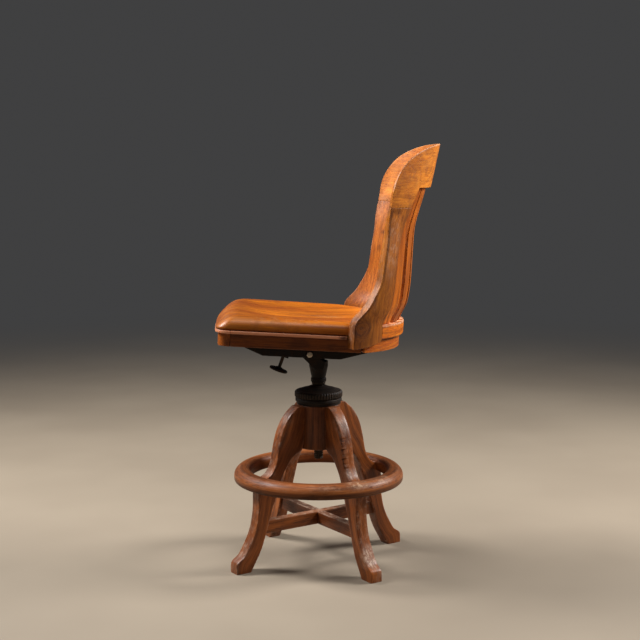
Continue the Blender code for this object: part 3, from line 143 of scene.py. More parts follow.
BROAD = Pattern((1.6, 6.0, 6.0), 3.1, 2.0, 0.50, (0.35, 0.65))
STREAK = Pattern((3.2, 85.0, 85.0), 7.7, 4.0, 0.62, (0.38, 0.62))
FIBRE = Pattern((9.0, 330.0, 330.0), 1.3, 3.0, 0.60)
PORE = Pattern((38.0, 950.0, 950.0), 5.9, 1.5, 0.50, (0.56, 0.68))
BLOTCH = Pattern((12.0, 26.0, 26.0), 8.3, 4.0, 0.62, (0.46, 0.70))
TICK = Pattern((300.0, 40.0, 40.0), 6.1, 2.0, 0.55, (0.58, 0.68))
SCUFF = Pattern((60.0, 90.0, 90.0), 2.2, 4.0, 0.70, (0.46, 0.62))
DENT = Pattern((22.0, 30.0, 30.0), 4.4, 3.0, 0.55)
CLOUD = Pattern((55.0, 55.0, 55.0), 0.0, 4.0, 0.65, (0.48, 0.68))
SPECK = Pattern((260.0, 260.0, 260.0), 0.0, 3.0, 0.60, (0.52, 0.66))
FLOOR_TONE = Pattern((1.4, 1.4, 1.4), 0.0, 3.0, 0.50, (0.3, 0.7))


class Graph:
    """Builds one material's nodes round its Principled shader."""

    def __init__(self, name: str) -> None:
        """Makes a material with a Principled shader.

        Args:
            name: Name of the material.
        """
        self.material = bpy.data.materials.new(name)
        self.material.use_nodes = True
        self.tree = self.material.node_tree
        self.shader = self.tree.nodes["Principled BSDF"]

    def feed(self, socket: Socket, value: Any) -> None:
        """Links a socket, or sets its value when a number or colour is given.

        Args:
            socket: Input to fill.
            value: Output socket, number or tuple.
        """
        if isinstance(value, Socket):
            self.tree.links.new(value, socket)
        elif socket.type == 'RGBA' and len(value) == 3:
            socket.default_value = (*value, 1.0)
        else:
            socket.default_value = value

    def node(self, kind: str, result: int | str, inputs: dict[Any, Any], **settings: Any) -> Socket:
        """Adds a node and fills its inputs.

        Args:
            kind: Blender's node type.
            result: Output to hand back.
            inputs: Link or value for each input.
            settings: Properties of the node, set first.

        Returns:
            The output.
        """
        node = self.tree.nodes.new(kind)
        for key, value in settings.items():
            setattr(node, key, value)
        for key, value in inputs.items():
            self.feed(node.inputs[key], value)
        return node.outputs[result]

    def surface(self, values: dict[str, Any]) -> None:
        """Fills inputs of the Principled shader."""
        for key, value in values.items():
            self.feed(self.shader.inputs[key], value)

    def attribute(self, name: str, result: str = "Fac") -> Socket:
        """Reads a mesh attribute."""
        return self.node('ShaderNodeAttribute', result, {}, attribute_name=name)

    def math(self, operation: str, *values: Any, clamp: bool = False) -> Socket:
        """Adds a Math node."""
        return self.node('ShaderNodeMath', 0, dict(enumerate(values)), operation=operation, use_clamp=clamp)

    def times(self, a: Any, b: Any, clamp: bool = False) -> Socket:
        """Multiplies two values."""
        return self.math('MULTIPLY', a, b, clamp=clamp)

    def stretch(self, vector: Socket, scale: Triple, shift: float = 0.0) -> Socket:
        """Scales a vector by axis and moves it."""
        offset = tuple(shift * step for step in NOISE_STEP)
        return self.node('ShaderNodeVectorMath', 0, {0: vector, 1: scale, 2: offset}, operation='MULTIPLY_ADD')

    def noise(self, vector: Socket, scale: float, detail: float, rough: float, warp: float = 0.0) -> Socket:
        """Adds a Noise texture, about 0.5 in the middle."""
        values = {"Scale": scale, "Detail": detail, "Roughness": rough, "Distortion": warp}
        return self.node('ShaderNodeTexNoise', "Fac", {"Vector": vector, **values})

    def span(self, value: Any, low: float, high: float, to_low: float = 0.0, to_high: float = 1.0) -> Socket:
        """Maps one range smoothly to another and clamps it."""
        values = {"From Min": low, "From Max": high, "To Min": to_low, "To Max": to_high}
        return self.node('ShaderNodeMapRange', "Result", {"Value": value, **values}, interpolation_type='SMOOTHSTEP')

    def pattern(self, vector: Socket, pattern: Pattern) -> Socket:
        """Adds a stretched noise, mapped to 0..1 where the pattern has a span."""
        value = self.noise(self.stretch(vector, pattern.scale, pattern.shift), 1.0, pattern.detail, pattern.rough)
        return self.span(value, *pattern.span) if pattern.span else value

    def mix(self, share: Any, a: Any, b: Any, blend: str = 'MIX') -> Socket:
        """Mixes two colours by the share of the second."""
        return self.node('ShaderNodeMix', 2, {"Factor": share, 6: a, 7: b}, data_type='RGBA', blend_type=blend)

    def relief(self, height: Socket, strength: float, distance: float) -> None:
        """Gives the shader a bump."""
        values = {"Strength": strength, "Distance": distance, "Height": height}
        self.surface({"Normal": self.node('ShaderNodeBump', "Normal", values)})


@dataclass(frozen=True)
class Finish:
    """Look of one kind of surface, with the slot that it fills."""

    name: str
    slot: str

    def dress(self, g: Graph) -> None:
        """Fills a material's graph."""
        raise NotImplementedError


@dataclass(frozen=True)
class WoodFinish(Finish):
    """Look of one kind of varnished oak."""

    light: Triple
    dark: Triple
    line: Triple
    worn: Triple
    rings: float = 9.0
    figure: Triple = (1.1, 9.0, 9.0)
    figure_noise: Triple = (1.5, 0.45, 0.25)
    board: float = 0.0
    board_jump: float = 3.7
    band_span: Pair = (-0.2, 1.0)
    band_share: float = 0.55
    band_pores: Pair = (0.75, 0.5)
    fibre_span: tuple[float, ...] = (0.35, 0.70, 0.0, 0.34)
    pores: float = 0.55
    edge_wear: float = 0.35
    grime: float = 0.45
    grime_share: float = 0.7
    streak: float = 0.55
    scuff_span: tuple[float, ...] = (0.0, 0.8, 0.25, 1.0)
    tick_share: float = 0.6
    stain_span: tuple[float, ...] = (0.0, 1.0, 0.8, 1.0)
    stain_tint: float = 0.45
    rough: float = 0.36
    rubbed_rough: float = 0.22
    blotch_rough: tuple[float, ...] = (0.0, 1.0, -0.03, 0.10)
    pore_rough: float = 0.12
    coat: float = 0.25
    coat_rough: float = 0.22
    specular: float = 0.24
    bump: float = 0.25
    bump_depth: float = 0.0012
    dent_height: float = 0.9
    pore_height: float = 0.5
    fibre_height: float = 0.35

    def dress(self, g: Graph) -> None:
        """Builds rings, streaks and pores, then pale rubbed places, which are wear and in some marks painted sheen,
        then dark places, which are stains and dark joints and on many pieces painted shade, then the varnish.

        Args:
            g: Graph to fill.
        """
        grain = g.attribute("grain", "Vector")
        edge, worn_and_sheen_place, stain_and_shade_place = map(g.attribute, WEAR_SHEEN_AND_SHADE)
        if self.board > 0.0:
            grain = self._boards(g, grain)
        figure = g.noise(g.stretch(grain, self.figure), 1.0, *self.figure_noise)
        band = g.span(g.math('SINE', g.times(figure, self.rings * math.tau)), *self.band_span)
        broad, streak, fibre, pore, blotch, tick, scuff, dent = (
            g.pattern(grain, pattern) for pattern in (BROAD, STREAK, FIBRE, PORE, BLOTCH, TICK, SCUFF, DENT))
        pore = g.times(pore, g.math('MULTIPLY_ADD', band, *self.band_pores))

        colour = g.mix(broad, self.dark, self.light)
        colour = g.mix(g.times(band, self.band_share), colour, self.dark)
        colour = g.mix(g.times(streak, self.streak), colour, self.line)
        colour = g.mix(g.span(fibre, *self.fibre_span), colour, self.light, 'SCREEN')
        colour = g.mix(g.times(pore, self.pores), colour, self.line)
        colour = g.mix(g.times(blotch, self.grime * self.grime_share), colour, self.line)
        # Pale rub: edge wear and the pale marks, some of which are painted sheen.
        rub_and_sheen = g.math('MAXIMUM', g.times(g.times(edge, self.edge_wear), scuff),
                        g.times(worn_and_sheen_place, g.span(scuff, *self.scuff_span)), clamp=True)
        colour = g.mix(rub_and_sheen, colour, self.worn)
        colour = g.mix(g.times(worn_and_sheen_place, g.times(tick, self.tick_share), True), colour, self.line)
        # Dark layer: stains and dark joints, and the painted shade that many pieces and marks put here.
        colour = g.mix(g.times(stain_and_shade_place, g.span(blotch, *self.stain_span), True), colour,
                       tuple(self.stain_tint * c for c in self.line))

        rough = g.math('MULTIPLY_ADD', rub_and_sheen, self.rubbed_rough, self.rough)
        rough = g.math('ADD', rough, g.span(blotch, *self.blotch_rough))
        rough = g.math('ADD', rough, g.times(pore, self.pore_rough), clamp=True)
        g.surface({"Base Color": colour, "Roughness": rough, "Specular IOR Level": self.specular,
                   "Coat Weight": self.coat, "Coat Roughness": self.coat_rough})
        height = g.math('SUBTRACT', g.times(dent, self.dent_height), g.times(pore, self.pore_height))
        g.relief(g.math('ADD', height, g.times(fibre, self.fibre_height)), self.bump, self.bump_depth)

    def _boards(self, g: Graph, grain: Socket) -> Socket:
        """Breaks the grain into glued boards.

        Args:
            g: Graph to fill.
            grain: Grain of one wide board.

        Returns:
            Grain that jumps from board to board.
        """
        across = g.node('ShaderNodeSeparateXYZ', 1, {0: grain})
        index = g.math('FLOOR', g.math('DIVIDE', g.math('ADD', across, self.board / 2), self.board))
        jump = g.node('ShaderNodeCombineXYZ', 0, {0: g.times(index, self.board_jump)})
        return g.node('ShaderNodeVectorMath', 0, {0: grain, 1: jump}, operation='ADD')


@dataclass(frozen=True)
class MetalFinish(Finish):
    """Look of one kind of metal."""

    base: Triple
    patina: Triple
    bright: Triple
    metallic: float
    rough: float
    grain: float = 900.0
    bump: float = 0.35
    edge: float = 0.5
    grain_noise: Pair = (3.0, 0.6)
    speck_share: float = 0.35
    rub_span: tuple[float, ...] = (0.0, 1.0, 0.35, 1.0)
    specular: float = 0.30
    cloud_rough: float = 0.16
    rub_polish: float = 0.12
    cloud_height: float = 0.6
    bump_depth: float = 0.0006

    def dress(self, g: Graph) -> None:
        """Builds metal with patina and rubbed edges.

        Args:
            g: Graph to fill.
        """
        place = g.attribute("grain", "Vector")
        cast = g.noise(place, self.grain, *self.grain_noise)
        cloud, speck = g.pattern(place, CLOUD), g.pattern(place, SPECK)
        colour = g.mix(cloud, self.base, self.patina)
        colour = g.mix(g.times(speck, self.speck_share), colour, self.patina)
        rub = g.times(g.times(g.attribute("edge"), self.edge), g.span(speck, *self.rub_span))
        rough = g.math('MULTIPLY_ADD', cloud, self.cloud_rough, self.rough)
        g.surface({"Base Color": g.mix(rub, colour, self.bright), "Metallic": self.metallic,
                   "Specular IOR Level": self.specular,
                   "Roughness": g.math('SUBTRACT', rough, g.times(rub, self.rub_polish), clamp=True)})
        g.relief(g.math('ADD', cast, g.times(cloud, self.cloud_height)), self.bump, self.bump_depth)


@dataclass(frozen=True)
class Mark:
    """A paler or darker place on a piece, as an ellipsoid in the piece's own frame: wear and some painted sheen,
    stains and some painted shade.
    """

    centre: Triple
    size: Triple
    worn: float = 0.0
    stain: float = 0.0


OAK_SEAT = WoodFinish(
    "oak_seat_finish", "oak_seat", (0.82, 0.215, 0.008), (0.42, 0.080, 0.004), (0.13, 0.022, 0.003),
    (0.66, 0.36, 0.15), rings=6.0, figure=(0.9, 7.0, 7.0), board=0.145, edge_wear=0.20, grime=0.30,
    streak=0.46, rough=0.43, coat=0.07, coat_rough=0.26, specular=0.20)
# A darker copy of the seat's oak: painted shade for the front and side aprons under the seat.
OAK_APRON_SHADED = WoodFinish(
    "oak_apron_finish", "oak_seat", (0.62, 0.155, 0.013), (0.32, 0.066, 0.005), (0.09, 0.018, 0.003),
    (0.50, 0.24, 0.10), rings=6.0, edge_wear=0.20, grime=0.45, rough=0.42, coat=0.10)
OAK_BACK = WoodFinish(
    "oak_back_finish", "oak_back", (0.70, 0.205, 0.019), (0.37, 0.091, 0.008), (0.10, 0.022, 0.004),
    (0.78, 0.47, 0.30), rings=8.0, pores=0.6, edge_wear=0.26, grime=0.40, rough=0.50, coat=0.04,
    specular=0.15)
OAK_SLAT = replace(
    OAK_BACK, name="oak_slat_finish", light=(0.66, 0.158, 0.010), dark=(0.34, 0.069, 0.004), edge_wear=0.10,
    specular=0.12)
# A brighter copy of the back's oak: painted light on the lower rail.
OAK_RAIL_LIT = replace(
    OAK_BACK, name="oak_rail_finish", light=(0.86, 0.200, 0.010), dark=(0.47, 0.090, 0.004), edge_wear=0.16,
    specular=0.11)
OAK_CREST = replace(
    OAK_BACK, name="oak_crest_finish", light=(0.75, 0.222, 0.021), dark=(0.47, 0.118, 0.010), edge_wear=0.10,
    streak=0.40, figure=(2.2, 9.0, 9.0))
# Pale pink bead oak: partly rubbed varnish, partly a painted highlight on the rounded nose.
OAK_BEAD_WORN_AND_LIT = WoodFinish(
    "oak_bead_finish", "oak_bead", (0.86, 0.330, 0.170), (0.66, 0.220, 0.100), (0.16, 0.040, 0.014),
    (0.70, 0.36, 0.22), rings=5.0, figure=(1.1, 12.0, 12.0), pores=0.25, edge_wear=0.25, grime=0.15,
    streak=0.12, rough=0.38, coat=0.16)
OAK_LEG = WoodFinish(
    "oak_leg_finish", "oak_base", (0.330, 0.088, 0.017), (0.120, 0.027, 0.005), (0.030, 0.007, 0.002),
    (0.56, 0.39, 0.28), rings=7.0, figure=(1.2, 11.0, 11.0), pores=0.7, edge_wear=0.25, grime=0.50,
    rough=0.42, coat=0.12, coat_rough=0.26, bump=0.32)
OAK_RING = WoodFinish(
    "oak_ring_finish", "oak_ring", (0.400, 0.120, 0.030), (0.160, 0.040, 0.009), (0.040, 0.010, 0.003),
    (0.52, 0.31, 0.19), rings=7.0, figure=(1.0, 14.0, 14.0), pores=0.75, edge_wear=0.22, grime=0.45,
    rough=0.46, coat=0.05, coat_rough=0.30, specular=0.17, bump=0.40)
OAK_PLAIN = WoodFinish(
    "oak_plain_finish", "oak_hidden", (0.32, 0.17, 0.075), (0.22, 0.11, 0.045), (0.12, 0.06, 0.025),
    (0.36, 0.22, 0.12), rings=6.0, pores=0.5, edge_wear=0.2, grime=0.5, rough=0.65, coat=0.0)
IRON = MetalFinish(
    "iron_finish", "cast_iron", (0.0075, 0.0042, 0.0026), (0.024, 0.011, 0.005), (0.09, 0.055, 0.032), 0.30, 0.60)
STEEL = MetalFinish(
    "steel_finish", "dark_steel", (0.035, 0.025, 0.018), (0.060, 0.028, 0.012), (0.20, 0.15, 0.11), 0.75, 0.45,
    1400.0, 0.18)
BRIGHT = MetalFinish(
    "bright_finish", "bright_steel", (0.50, 0.43, 0.34), (0.30, 0.20, 0.12), (0.75, 0.68, 0.58), 0.9, 0.38,
    1800.0, 0.15)
PLAIN_WOOD = ("batten_front", "batten_rear")
PLAIN_IRON = ("spring_nut",)
PLAIN_FIGURE = 0.9

MARKS: dict[str, tuple[Mark, ...]] = {
    # Leg marks: at the feet wear; near the leg tops and at the foot ring painted sheen.
    "oak_leg_1": (Mark((0.112, 0.0, 0.392), (0.036, 0.030, 0.034), worn=0.45),
                  Mark((0.157, 0.0, 0.262), (0.020, 0.030, 0.022), worn=0.60),
                  Mark((0.239, 0.0, 0.058), (0.036, 0.024, 0.046), worn=1.0)),
    "oak_leg_4": (Mark((0.160, 0.0, 0.258), (0.018, 0.030, 0.018), worn=0.60),
                  Mark((0.236, 0.0, 0.056), (0.030, 0.020, 0.030), worn=0.40),
                  Mark((0.110, 0.0, 0.392), (0.030, 0.030, 0.020), worn=0.25)),
    "oak_foot_ring": (Mark((0.196, 0.109, 0.252), (0.034, 0.050, 0.014), worn=0.90),
                      Mark((0.144, 0.172, 0.250), (0.046, 0.052, 0.014), worn=0.55),
                      Mark((0.220, 0.026, 0.246), (0.016, 0.060, 0.008), worn=0.30)),
    "oak_stile_left": (Mark((0.226, 0.100, 0.090), (0.016, 0.010, 0.046), worn=0.55),
                       Mark((0.219, 0.140, 0.170), (0.010, 0.026, 0.040), worn=0.35),
                       Mark((0.210, 0.196, 0.398), (0.034, 0.034, 0.015), stain=0.75),
                       Mark((0.204, 0.190, 0.310), (0.034, 0.034, 0.100), worn=0.30, stain=0.30),
                       # The next two marks are painted shade over the lower left stile.
                       Mark((0.222, 0.155, 0.190), (0.080, 0.080, 0.150), stain=0.48),
                       Mark((0.228, 0.125, 0.085), (0.070, 0.095, 0.085), stain=0.82)),
    "oak_stile_right": (Mark((-0.172, 0.189, 0.321), (0.014, 0.016, 0.008), stain=0.6),
                        Mark((-0.179, 0.181, 0.276), (0.010, 0.012, 0.012), stain=0.6),
                        # Painted shade over the lower right stile, like the left.
                        Mark((-0.226, 0.140, 0.095), (0.060, 0.070, 0.080), stain=0.40)),
    # Painted shade at both ends of the front apron, where it meets the shaded side aprons.
    "oak_apron_front": (Mark((0.209, -0.205, 0.053), (0.030, 0.036, 0.060), stain=0.65),
                        Mark((-0.209, -0.205, 0.053), (0.030, 0.036, 0.060), stain=0.65)),
    # Painted shadow along the rail's foot and on the rear apron's top under it; the rail's pale top edge is wear with
    # a painted highlight.
    "oak_back_rail": (Mark((0.0, 0.100, 0.0696), (0.600, 0.600, 0.0060), stain=0.90),
                      Mark((0.0, 0.100, 0.1046), (0.600, 0.600, 0.0060), worn=0.75)),
    "oak_apron_rear": (Mark((0.0, 0.100, 0.0696), (0.600, 0.600, 0.0090), stain=0.85),),
    "oak_bead_left": (Mark((0.218, 0.080, 0.074), (0.012, 0.014, 0.012), stain=1.0),),
    "oak_seat_panel": (Mark((0.170, -0.205, 0.100), (0.045, 0.040, 0.030), stain=0.25),
                       Mark((0.032, 0.050, 0.102), (0.016, 0.050, 0.012), worn=0.75),
                       Mark((0.010, 0.010, 0.102), (0.012, 0.070, 0.012), worn=0.35)),
}


@dataclass
class Shape:
    """Points, faces and surface data of one piece before it becomes an object."""

    points: np.ndarray
    faces: Faces
    edge: np.ndarray
    flow: Flow
    levels: int = 0
    worn: np.ndarray = field(init=False)
    stain: np.ndarray = field(init=False)

    def __post_init__(self) -> None:
        """Starts with no wear, sheen, stains or painted shade."""
        self.worn = np.zeros(len(self.points))
        self.stain = np.zeros(len(self.points))


def lerp(a: float, b: float, share: float) -> float:
    """Value between two others."""
    return a + (b - a) * share


def ease(low: float, high: float, value: Any) -> Any:
    """Smooth step from 0 at low to 1 at high, for a number or an array."""
    t = np.clip((value - low) / (high - low), 0.0, 1.0)
    return t * t * (3 - 2 * t)


def curve(line: Sequence[Pair], at: float) -> float:
    """Reads a smooth curve through (place, value) points, level past both ends.

    Args:
        line: Points of the curve.
        at: Place.

    Returns:
        The value at that place.
    """
    places, values = zip(*line)
    if at <= places[0]:
        return values[0]
    if at >= places[-1]:
        return values[-1]
    rises = [(d - b) / (c - a) for (a, b), (c, d) in zip(line, line[1:])]
    turns = [2 * a * b / (a + b) if a * b > 0 else 0.0 for a, b in zip(rises, rises[1:])]
    slopes = [rises[0], *turns, rises[-1]]
    k = next(i for i, place in enumerate(places[1:]) if place >= at)
    span = places[k + 1] - places[k]
    t = (at - places[k]) / span
    return ((2 * t ** 3 - 3 * t ** 2 + 1) * values[k] + (t ** 3 - 2 * t ** 2 + t) * span * slopes[k]
            + (3 * t ** 2 - 2 * t ** 3) * values[k + 1] + (t ** 3 - t ** 2) * span * slopes[k + 1])


def smooth_line(line: np.ndarray, stops: np.ndarray) -> np.ndarray:
    """Reads a smooth curve through the points of a line.

    Args:
        line: Points (x, z) of the line.
        stops: Places along it, counted in points.

    Returns:
        Points (x, z) at those places.
    """
    run = np.concatenate(([0.0], np.cumsum(np.hypot(*np.diff(line, axis=0).T))))
    places = np.interp(stops, np.arange(len(line)), run)
    return np.array([[curve(list(zip(run, values)), at) for values in line.T] for at in places])


def side_line(x: float, stops: np.ndarray) -> np.ndarray:
    """Plan line along one side of the seat."""
    return np.column_stack((np.full(len(stops), x), stops))


def straight(axis: Axis, shift: float = 0.0) -> Flow:
    """Grain that runs straight along one axis, shifted so that a board has its own figure."""
    order = [axis.value, *(i for i in range(3) if i != axis.value)]
    return lambda points: points[:, order] + shift * FIGURE_STEP


def along_line(line: np.ndarray, shift: float) -> Flow:
    """Grain that follows a line in the XZ plane.

    Args:
        line: Points (x, z) of the line.
        shift: Offset that gives a board its own figure.

    Returns:
        Function from points to grain coordinates.
    """
    steps = np.diff(line, axis=0)
    lengths = np.hypot(*steps.T)
    starts = np.cumsum(lengths) - lengths
    units = steps / lengths[:, None]

    def flow(points: np.ndarray) -> np.ndarray:
        """Measures each point along the nearest stretch of the line.

        Args:
            points: Points, one row each.

        Returns:
            Their grain coordinates.
        """
        offset = points[:, None, [0, 2]] - line[None, :-1]
        run = np.clip((offset * units).sum(2), 0.0, lengths)
        best = np.linalg.norm(offset - units * run[..., None], axis=2).argmin(1)
        rows = np.arange(len(points))
        aside = units[best, 0] * offset[rows, best, 1] - units[best, 1] * offset[rows, best, 0]
        return np.column_stack((starts[best] + run[rows, best] + shift, aside + 0.3 * shift, points[:, 1]))

    return flow


def knotted(flow: Flow, centre: Triple, size: Triple, depth: float) -> Flow:
    """Bends grain round a knot.

    Args:
        flow: Grain without the knot.
        centre: Middle of the knot.
        size: Its reach along each axis.
        depth: How far the grain is pushed in.

    Returns:
        Function from points to grain coordinates.
    """
    def bent(points: np.ndarray) -> np.ndarray:
        """Pushes the grain in near the knot."""
        push = depth * np.exp(-(((points - np.array(centre)) / np.array(size)) ** 2).sum(1))
        return flow(points) + np.column_stack((np.zeros(len(points)), push, 0.6 * push))

    return bent


def quads(rows: int, columns: int, round_rows: bool = False, round_columns: bool = False) -> Faces:
    """Faces of a grid of points.

    Args:
        rows: Number of rows.
        columns: Points in each row.
        round_rows: Whether the last row joins the first.
        round_columns: Whether the last column joins the first.

    Returns:
        The faces.
    """
    return [(i * columns + j, i * columns + m, n * columns + m, n * columns + j)
            for i, n in ((i, (i + 1) % rows) for i in range(rows if round_rows else rows - 1))
            for j, m in ((j, (j + 1) % columns) for j in range(columns if round_columns else columns - 1))]


def board(rows: Sequence[Any], columns: Sequence[Any], place: Place, flow: Flow, rim: float,
          levels: int = 2) -> Shape:
    """Makes a rounded slab from a function that places its two faces.

    Args:
        rows: Values of the rows.
        columns: Values of the columns.
        place: Point for a row, a column and a face, 0 for the outer and 1 for the inner.
        flow: Grain of the piece.
        rim: Share of the thickness kept by the rounded edge.
        levels: Subdivision levels.

    Returns:
        The cage of the slab: outer face, inner face, then two loops round its edge.
    """
    grid = np.arange(len(rows) * len(columns)).reshape(len(rows), len(columns))
    count = grid.size
    outer, inner = (np.array([place(row, column, face) for row in rows for column in columns]) for face in (0, 1))
    border = np.concatenate((grid[0], grid[1:, -1], grid[-1, -2::-1], grid[-2:0:-1, 0]))
    total = len(border)
    near, far = (outer[border] * (1 - share) + inner[border] * share for share in (rim, 1 - rim))
    points = np.concatenate((outer, inner, near, far))
    faces = quads(*grid.shape)
    faces += [tuple(count + k for k in reversed(quad)) for quad in faces]
    loops = [border, 2 * count + np.arange(total), 2 * count + total + np.arange(total), border + count]
    for first, second in zip(loops, loops[1:]):
        faces += zip(first.tolist(), second.tolist(), np.roll(second, -1).tolist(), np.roll(first, -1).tolist())
    edge = np.zeros(len(points))
    edge[border] = edge[border + count] = 1.0
    edge[2 * count:] = RIM_WEAR
    return Shape(points, faces, edge, flow, levels)


def loft(rings: np.ndarray, flow: Flow, edge: np.ndarray, levels: int = 0) -> Shape:
    """Joins rings of points into a closed surface.

    Args:
        rings: Rings by points by 3, each ring closed.
        flow: Grain of the piece.
        edge: Edge wear of each ring point, rings by points.
        levels: Subdivision levels.

    Returns:
        The surface.
    """
    count, size = rings.shape[:2]
    caps = [tuple(reversed(range(size))), tuple(range((count - 1) * size, count * size))]
    return Shape(rings.reshape(-1, 3), quads(count, size, round_columns=True) + caps, edge.ravel(), flow, levels)


def sleeve(inner: float, outer: float, low: float, high: float) -> tuple[Pair, ...]:
    """Profile of a plain ring."""
    return (inner, low), (outer, low), (outer, high), (inner, high)


def bolt(tip: float, radius: float, seat: float, head_radius: float, head: float) -> tuple[Pair, ...]:
    """Half outline of a bolt from its tip to the top of its head."""
    top = seat + head
    return (0.0, tip), (radius, tip), (radius, seat), (head_radius, seat), (head_radius, top), (0.0, top)


def fillet(points: Sequence[Pair], radius: float, steps: int, closed: bool) -> tuple[np.ndarray, np.ndarray]:
    """Rounds the corners of a profile.

    Args:
        points: Profile as (radius, height).
        radius: Corner radius, less where the sides are short.
        steps: Points in each corner.
        closed: Whether the profile closes on itself.

    Returns:
        The rounded profile and its edge wear.
    """
    line = np.array(points, float)
    out: list[np.ndarray] = []
    wear: list[float] = []
    for i, corner in enumerate(line):
        if not closed and i in (0, len(line) - 1):
            out.append(corner)
            wear.append(0.0)
            continue
        sides = [line[i - 1] - corner, line[(i + 1) % len(line)] - corner]
        lengths = [np.linalg.norm(side) for side in sides]
        reach = min(radius, CORNER_SHARE * min(lengths))
        a, b = (corner + side / length * reach for side, length in zip(sides, lengths))
        for t in np.linspace(0.0, 1.0, steps):
            out.append((1 - t) ** 2 * a + 2 * t * (1 - t) * corner + t ** 2 * b)
            wear.append(4 * t * (1 - t))
    return np.array(out), np.array(wear)


def turned(profile: np.ndarray, edge: np.ndarray, steps: int, flow: Flow, closed: bool = True,
           turn: Turn | None = None, phase: float = 0.0, seam: bool = False) -> Shape:
    """Turns a profile about Z.

    Args:
        profile: Points (radius, height).
        edge: Edge wear of each point.
        steps: Points round the axis.
        flow: Grain of the piece.
        closed: Whether the profile is a closed loop.
        turn: Optional change of the radius from angle, radius and height.
        phase: Angle of the first point.
        seam: Whether the last ring lies on the first without joining it.

    Returns:
        The turned surface.
    """
    angles = phase + np.linspace(0.0, math.tau, steps + 1)[:steps + seam]
    radius, height = profile.T
    rings = []
    for a in angles:
        reach = turn(a, radius, height) if turn else radius
        rings.append(np.column_stack((reach * math.cos(a), reach * math.sin(a), height)))
    faces = quads(len(angles), len(profile), not seam, closed)
    return Shape(np.concatenate(rings), faces, np.tile(edge, len(angles)), flow)


def lathe(corners: Sequence[Pair], radius: float, steps: int, corner_steps: int = 4, closed: bool = True,
          shift: float = 0.0, turn: Turn | None = None) -> Shape:
    """Turns a profile about Z with its corners rounded and upright grain."""
    profile, edge = fillet(corners, radius, corner_steps, closed)
    return turned(profile, edge, steps, straight(Axis.Z, shift), closed, turn)


def read_points(mesh: bpy.types.Mesh) -> np.ndarray:
    """Reads a mesh's points.

    Args:
        mesh: The mesh.

    Returns:
        Its points, one row each.
    """
    points = np.zeros(len(mesh.vertices) * 3)
    mesh.vertices.foreach_get("co", points)
    return points.reshape(-1, 3)


def store(mesh: bpy.types.Mesh, name: str, values: np.ndarray) -> None:
    """Keeps values on a mesh's points.

    Args:
        mesh: The mesh.
        name: Name of the attribute.
        values: One number or vector for each point.
    """
    vector = values.ndim == 2
    old = mesh.attributes.get(name)
    if old:
        mesh.attributes.remove(old)
    layer = mesh.attributes.new(name, 'FLOAT_VECTOR' if vector else 'FLOAT', 'POINT')
    layer.data.foreach_set("vector" if vector else "value", values.astype(np.float32).ravel())


def store_plain(mesh: bpy.types.Mesh, flow: Flow) -> None:
    """Gives a mesh its grain and no wear, sheen, stains or painted shade.

    Args:
        mesh: The mesh.
        flow: Its grain.
    """
    points = read_points(mesh)
    store(mesh, "grain", flow(points))
    for key in WEAR_SHEEN_AND_SHADE:
        store(mesh, key, np.zeros(len(points)))


def bake(obj: bpy.types.Object) -> None:
    """Turns an object's modifiers into its mesh."""
    obj.data = bpy.data.meshes.new_from_object(obj.evaluated_get(bpy.context.evaluated_depsgraph_get()))
    obj.modifiers.clear()


class Finishes:
    """Makes each finish once and hands it out."""

    def __init__(self) -> None:
        """Starts with no materials."""
        self._made: dict[str, bpy.types.Material] = {}

    def put_on(self, mesh: bpy.types.Mesh, finish: Finish) -> None:
        """Makes a finish a mesh's only material.

        Args:
            mesh: The mesh.
            finish: Its finish.
        """
        if finish.name not in self._made:
            graph = Graph(finish.name)
            finish.dress(graph)
            self._made[finish.name] = graph.material
        mesh.materials.clear()
        mesh.materials.append(self._made[finish.name])


